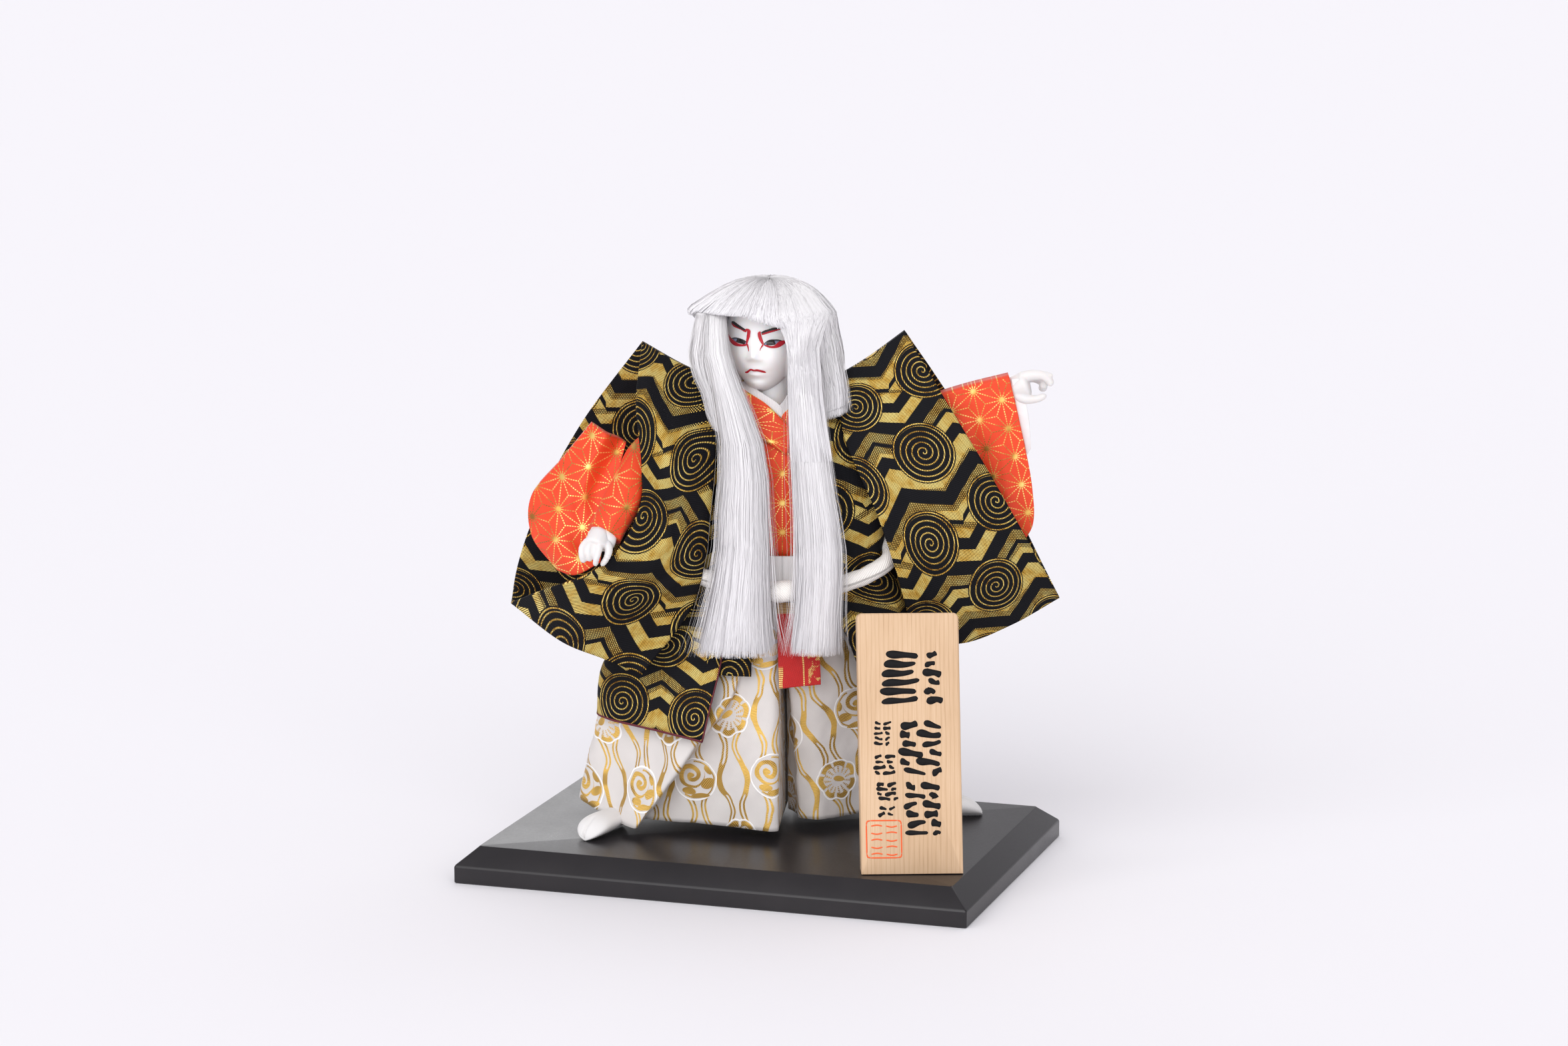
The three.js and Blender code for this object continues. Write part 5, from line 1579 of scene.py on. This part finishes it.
def title_marks(mesh):
    """Rows of plain brush strokes where such a board carries an inscription. They aren't letters."""
    r = np.random.default_rng(41)
    groups = [  # left, top, right, bottom, rows of strokes, width of the brush
        (9, 16.5, 37.5, 40.5, 6, 2.9), (16.6, 47.5, 36.8, 72, 6, 2.9), (19, 74.5, 36, 99, 6, 2.8),
        (6.3, 47.4, 14.4, 58.6, 5, 1.5), (6.0, 62, 16.0, 71.6, 4, 1.5), (7, 74.4, 17, 82.8, 4, 1.6),
        (7.3, 84.7, 15.5, 90, 2, 1.4),
    ]
    for left, top, right, bottom, rows, brush in groups:
        wide, step = right - left, (bottom - top) / rows

        def sweep(x0, y0, x1, y1, size):
            bow = r.uniform(-0.12, 0.12) * step
            mark(mesh, [
                (x0, y0, brush * size * 0.55),
                (mix(x0, x1, 0.2), mix(y0, y1, 0.2) - bow, brush * size),
                (mix(x0, x1, 0.65), mix(y0, y1, 0.65) + bow, brush * size * 0.7),
                (x1, y1, brush * size * r.uniform(0.4, 1.1)),
            ], 1)

        for row in range(rows):
            y = top + (row + 0.5) * step
            split = r.uniform(0.3, 0.7)
            tilt = r.uniform(-0.3, 0.3, 2) * step
            sweep(left + r.uniform(0, 0.15) * wide, y - tilt[0], left + (split - 0.06) * wide, y + tilt[0],
                  r.uniform(0.8, 1.3))
            sweep(left + (split + 0.08) * wide, y - tilt[1], right - r.uniform(0, 0.15) * wide, y + tilt[1],
                  r.uniform(0.8, 1.3))
    # The seal: a frame with cut corners, and two columns of short strokes in it.
    left, top, right, bottom, line = 2.5, 91.4, 17.9, 107.8, 0.62
    sides = [
        [(left + 1.4, top), (right - 1.4, top)], [(right, top + 1.4), (right, bottom - 1.4)],
        [(right - 1.4, bottom), (left + 1.4, bottom)], [(left, bottom - 1.4), (left, top + 1.4)],
    ]
    for x, inward in ((left, 1), (right, -1)):
        for y, down in ((top, 1), (bottom, -1)):
            sides.append([(x + inward * a, y + down * b) for a, b in ((1.6, 0.02), (0.4, 0.4), (0.02, 1.6))])
    for spots in sides:
        mark(mesh, [(x, y, line) for x, y in spots], 2)
    for column in range(2):
        for row in range(5):
            x = left + 2 + column * 6.6
            y = top + 2.4 + row * 3.1
            slope = 0.5 if (row + column) % 2 else -0.4
            mark(mesh, [(x, y, line), (x + 2.6, y + slope, line), (x + 5, y, line)], 2)


title_board()


# Hair.


def hair_finish():
    f = Finish("silk fibre", sheen_weight=0.4, sheen_roughness=0.35, specular_ior_level=0.5)
    x, y = f.cloth()
    strand = f.noise(x * 60, y * 0.6, size=1.0, detail=1.0)
    # Painted shade: the hair turns greyer towards its lower end, as the light falls from above.
    lower = f.ramp(y, (0.0, (0.93, 0.915, 0.915)), (0.35, (0.91, 0.895, 0.90)), (1.0, (0.86, 0.845, 0.865)))
    return f.made(f.blend(strand * 0.8, lower, (0.68, 0.665, 0.685)), 0.36 + strand * 0.2)


HAIR = hair_finish()


def ribbons(lines, width, twist, shade):
    """Thin ribbons along lines of points. lines is strands by steps by 3, the rest one number a strand."""
    strands, steps = lines.shape[:2]
    along = unit(np.gradient(lines, axis=1))
    toward = np.stack([np.sin(twist), -np.cos(twist), 0 * twist], axis=-1)[:, None]
    across = unit(np.cross(along, toward))
    t = np.linspace(0, 1, steps)[None, :]
    taper = np.clip(np.minimum(t * 30, (1 - t) * 12 + 0.25), 0, 1)
    across = across * (width[:, None] / 2 * taper)[..., None]
    points = np.stack([lines + across, lines - across], axis=2)
    a = np.arange(strands * steps).reshape(strands, steps)[:, :-1].ravel() * 2
    quads = np.stack([a, a + 1, a + 3, a + 2], axis=-1)
    flat = np.stack(np.broadcast_arrays(shade[:, None], t), axis=-1)
    return points.reshape(-1, 3), quads, np.repeat(flat[:, :, None], 2, axis=2).reshape(-1, 2)


def rings_of(line, angle, reach, out=0):
    """Elliptical rings, or points at an angle and a share of the way out, on lines of
    (x, y, z, half width, half depth). Strands that stand out at the front do so by out."""
    return np.stack([
        line[..., 0] + line[..., 3] * reach * np.sin(angle),
        line[..., 1] - line[..., 4] * (reach + out) * np.cos(angle),
        line[..., 2] + 0 * angle,
    ], axis=-1)


def hair_piece(name, core, strands, node):
    """One body of hair: a closed core, and strands laid over it."""
    rows, cols = core.shape[:2]
    points, *faces = capped(core)
    lines, quads, uv = strands
    places = np.stack(np.meshgrid(np.linspace(0, 3, cols), np.linspace(0, 1, rows)), axis=-1).reshape(-1, 2)
    flat = np.concatenate([places, [[0, 0], [0, 1]], uv])
    mesh = mesh_of(name, placed(np.concatenate([points, lines])), *faces, quads + len(points), uv=flat)
    piece(name, mesh, HAIR, "hair", node)


def lock_strands(seed, levels, count, steps, width=0.3, ragged=0.012, front=None, slant=0.0):
    """Strands down a lock whose levels are (x, y, z, half width, half depth). Its end can slant."""
    r = np.random.default_rng(seed)
    # The strands start evenly round the lock's rim.
    even = np.linspace(0, 2 * math.pi, 721)
    wide, deep = np.mean(levels, axis=0)[3:]
    run = row_lengths(np.stack([wide * np.sin(even), deep * np.cos(even)], axis=-1)[None])[0]
    a = np.interp(r.uniform(0, run[-1], count), run, even)
    if front is not None:
        # Only a share of the strands is left at the back.
        keep = (np.cos(a) >= 0) | (r.uniform(0, 1, count) < front)
        a = np.where(keep, a, math.pi - a)
    share = 1 - 0.13 * r.uniform(0, 1, count) ** 1.4
    end = 1 - np.abs(r.normal(0, ragged, count)) - slant * (0.5 + 0.5 * np.sin(a))
    t = np.linspace(0, 1, steps)[None, :] * end[:, None]
    line = path(*levels)(t)
    wobble = 0.10 * np.sin(t * r.uniform(3, 9, count)[:, None] + r.uniform(0, 6.3, count)[:, None])
    angle = a[:, None] + wobble * r.normal(0, 1, count)[:, None]
    flute = 1 + 0.03 * np.sin(a[:, None] * 9 + 2.5 * t + np.sin(a[:, None] * 4) * 2)
    # A few strands hang free, most of them at the two sides.
    free = r.uniform(0, 1, count) < 0.025 * (1 + 9 * np.abs(np.sin(a)) ** 3)
    fly = np.where(free, 0.5 * r.uniform(0, 1, count) ** 1.5, 0)[:, None] * t**1.4
    points = rings_of(line, angle, share[:, None] * flute + fly, fly)
    swing = np.where(free, 2.5, 1)[:, None, None] * np.sin(t * 3.1)[..., None]
    sway = r.normal(0, 0.28, (count, 1, 3)) * swing
    lean = a + r.normal(0, 0.5, count)
    width = width * np.where(free, 0.5, 1) * r.uniform(0.6, 1.25, count)
    return ribbons(points + sway, width, lean, r.uniform(0, 3, count))


def lock(name, node, seed, count, steps, levels, slant=0.0, **options):
    core = rings_of(path(*levels)(np.linspace(0, 1, 40))[:, None], circle(40)[None, :], 0.87)
    x, _, end, half_width, _ = levels[-1]
    rise = slant * (levels[0][2] - end) * (0.5 + 0.5 * np.clip((core[..., 0] - x) / half_width, -1, 1))
    core[..., 2] = np.maximum(core[..., 2], end + 3.5 + rise)
    hair_piece(name, core, lock_strands(seed, levels, count, steps, slant=slant, **options), node)


lock("hair_tress_right_fibre", "hair_tress_right", 51, 2900, 14, [
    (-20.5, -15, 257, 4.2, 3), (-20.5, -20, 251, 4.6, 3.4), (-20, -24.5, 240, 5.4, 4),
    (-16.7, -27, 228, 5.7, 4.2), (-13.3, -29, 216, 7.1, 4.4), (-8.4, -30.4, 194, 9.2, 4.6),
    (-8.6, -31.6, 170, 10.7, 4.6), (-8.6, -33.2, 150, 11.5, 4.4), (-10.6, -34.2, 125, 13.9, 4.5),
    (-11.8, -34.5, HAIR_END + 2.2, 17.4, 4.8),
], front=0.4, ragged=0.02)
lock("hair_tress_left_fibre", "hair_tress_left", 52, 2600, 14, [
    (14.5, -9, 261, 4, 3), (16.6, -17.5, 251, 5.6, 3.6), (18, -24.4, 237, 6.5, 4.2),
    (19, -27.4, 222, 7.3, 4.5), (20.2, -28.6, 210, 7.8, 4.6), (21.5, -30, 193, 8.4, 4.6),
    (22.9, -31, 177, 8.8, 4.6), (24.6, -32.2, 161, 9.5, 4.5), (25.5, -33.4, 145, 9.9, 4.4),
    (24.8, -34.2, 125, 9.7, 4.5), (23.7, -34.5, HAIR_END + 3, 11.2, 4.8),
], front=0.4, ragged=0.02)
lock("hair_mane_fibre", "hair_mane", 53, 3000, 13, [
    (2, 17, 240, 27, 12), (2, 21, 228.6, 29, 10), (3, 29, 214, 32, 8.5), (4, 37, 196, 33, 8.4),
    (5, 42.6, 160, 33, 8.4), (6, 45.6, 125, 34, 8.6), (6, 49, 92, 35, 9),
], width=0.7)
lock("hair_side_lock_right_fibre", "hair_side_lock_right", 54, 1300, 10, [
    (-25, -12, 256, 4.6, 5), (-25.6, -12, 247, 5.2, 5), (-26.8, -13, 238, 5.3, 4.8),
    (-25.4, -15, 229.5, 5, 4.4), (-22.0, -18, 220, 3.8, 4), (-20.6, -21, 212, 3.4, 3.6),
    (-18.2, -23, 204, 2.8, 3.2),
], ragged=0.04)
lock("hair_side_lock_left_fibre", "hair_side_lock_left", 55, 1600, 10, [
    (23, -5, 254, 7.5, 8), (26, -6, 244, 8, 8), (27.6, -9, 233, 8.2, 7), (29, -12, 224, 8.4, 5.6),
    (30, -16, 215, 8.1, 4.8), (30.6, -18, 206.6, 7.8, 4.2),
], ragged=0.035, slant=0.11)

DOME = [(3, 3, CROWN_TOP, 0.8, 0.8), (3, 3, 269.9, 7, 7), (2.6, 2, 268.6, 13.6, 13.2),
        (2, 1, 265.0, 21.5, 20.4), (0.6, 0, 259.8, 28.4, 26.5), (0, 0, 254.5, 33.2, 30),
        (2.4, 1, 249, 31.6, 29.6), (2.6, 3, 238, 33.8, 28), (3.4, 6, 229, 34, 26)]
OVER_MANE = [(3.5, 15, 214, 33, 25), (4, 20.5, 196, 33.5, 26), (5, 25, 170, 33.5, 27)]
CROWN_STEPS = 12


def swept_back(levels, t):
    """Levels of the dome with its top drawn back, so that the strands start out of sight."""
    shift = 7 * np.clip(1 - t / 0.3, 0, 1) ** 2
    return levels + np.stack([0 * t, shift, -0.14 * shift, 0 * t, 0 * t], axis=-1)


def dome_strands(r, count):
    """Strands that run down the dome from its top. Those over the face are cut straight at the fringe."""
    # Azimuth: 0 faces the viewer, and the viewer's right is positive. More strands lie to the front.
    a = r.uniform(-math.pi, math.pi, count)
    more = r.uniform(-1.4, 1.4, count)
    a = np.where(r.uniform(0, 1, count) < 0.4, more, a)
    # The fringe is cut lower towards the viewer's right. At the left it overhangs the side hair.
    brim = (a > -1.75) & (a < -0.95)
    fringe = ((a >= -0.95) & (a < 0.5 + r.normal(0, 0.03, count))) | (brim & (r.uniform(0, 1, count) < 0.5))
    cut = 0.585 + 0.16 * smooth(-0.35, 0.5, a) + 0.07 * smooth(-1.0, -1.5, a)
    cut = cut - np.abs(r.normal(0, 0.006, count))
    end = np.where(fringe, cut, 1.0 - 0.1 * r.uniform(0, 1, count) ** 2)
    start = 0.3 * r.uniform(0, 1, count) ** 3
    along = np.linspace(0, 1, CROWN_STEPS)[None, :]
    t = mix(start[:, None], end[:, None], along)
    line = swept_back(path(*DOME)(t), t)
    wobble = r.normal(0, 0.045, count)[:, None] * np.sin(t * 7 + r.uniform(0, 6.3, count)[:, None])
    angle = a[:, None] + wobble
    share = 1 - 0.05 * r.uniform(0, 1, count)[:, None] ** 1.5 + 0.006 * np.sin(angle * 23 + t * 4)
    share = share - np.where(brim & ~fringe, 0.13, 0)[:, None] * smooth(0.5, 0.62, t)
    share = share + np.where(brim & fringe, 0.02, 0)[:, None] * smooth(0.4, 0.6, t)
    # At the back the strands run on down over the mane.
    whole = 1 + len(OVER_MANE) / (len(DOME) - 1)
    runs = mix(start[:, None] / whole, r.uniform(0.74, 0.97, count)[:, None], along)
    far_down = swept_back(path(*DOME, *OVER_MANE)(runs), runs * whole)
    line = np.where((np.abs(a) > 2.0)[:, None, None], far_down, line)
    points = rings_of(line, angle, share)
    points[..., 2] -= (1 - share) * 12
    return points, a


def side_strands(r, count):
    """Strands beside the face that flow into the tress on the viewer's right."""
    w = r.uniform(-1, 1, count)
    turn_in = 0.66 + 0.46 * w
    spots = [rings_of(path(*DOME)(t), turn_in, 1.01) for t in (0.16, 0.34, 0.5, 0.6)]
    bow = np.sqrt(1 - 0.75 * w**2)
    tress_top = [
        (18.2, -22.5, 243, 7, 4.4), (18.8, -26, 232, 7.2, 4.5), (19.4, -27.8, 219, 7.6, 4.6),
        (20.4, -29, 207, 8.2, 4.7), (22, -30.6, 192, 9.2, 4.7),
    ]
    for x, y, z, wide, deep in tress_top:
        spots.append(np.stack([x + wide * w, y - deep * bow, z + 0 * w], axis=-1))
    start, run = r.uniform(0, 0.3, count) ** 1.5, r.uniform(0.55, 0.97, count)
    shares = start[:, None] + run[:, None] * np.linspace(0, 1, CROWN_STEPS)
    fine = path(*spots)(np.linspace(0, 1, 401))
    points = fine[(np.clip(shares, 0, 1) * 400).round().astype(int), np.arange(count)[:, None]]
    return points, turn_in * 0.6


def crown():
    r = np.random.default_rng(56)
    points, a = (np.concatenate(both) for both in zip(dome_strands(r, 4800), side_strands(r, 900)))
    count = len(points)
    width = 0.38 * r.uniform(0.6, 1.25, count)
    twist = a + r.normal(0, 0.5, count)
    strands = ribbons(points, width, twist, r.uniform(0, 3, count))
    # The core is cut back over the face and behind the side hair on the viewer's left.
    turn = circle(120)[None, :]
    around = (turn + math.pi) % (2 * math.pi) - math.pi
    down = np.linspace(0, 0.995, 60)[:, None]
    face = smooth(-1.1, -0.95, around) * smooth(0.60, 0.5, around)
    side = smooth(-2.0, -1.75, around) * smooth(-0.85, -1.0, around)
    full = 0.955
    deep = full - 0.40 * face * smooth(0.56, 0.62, down) - 0.17 * side * smooth(0.48, 0.58, down)
    core = rings_of(swept_back(path(*DOME)(down), down), turn, deep)
    core[..., 1] += 12 * face * smooth(0.56, 0.66, down)
    core[..., 2] -= (1 - full) * 12
    hair_piece("hair_crown_fibre", core, strands, "hair_crown")


crown()
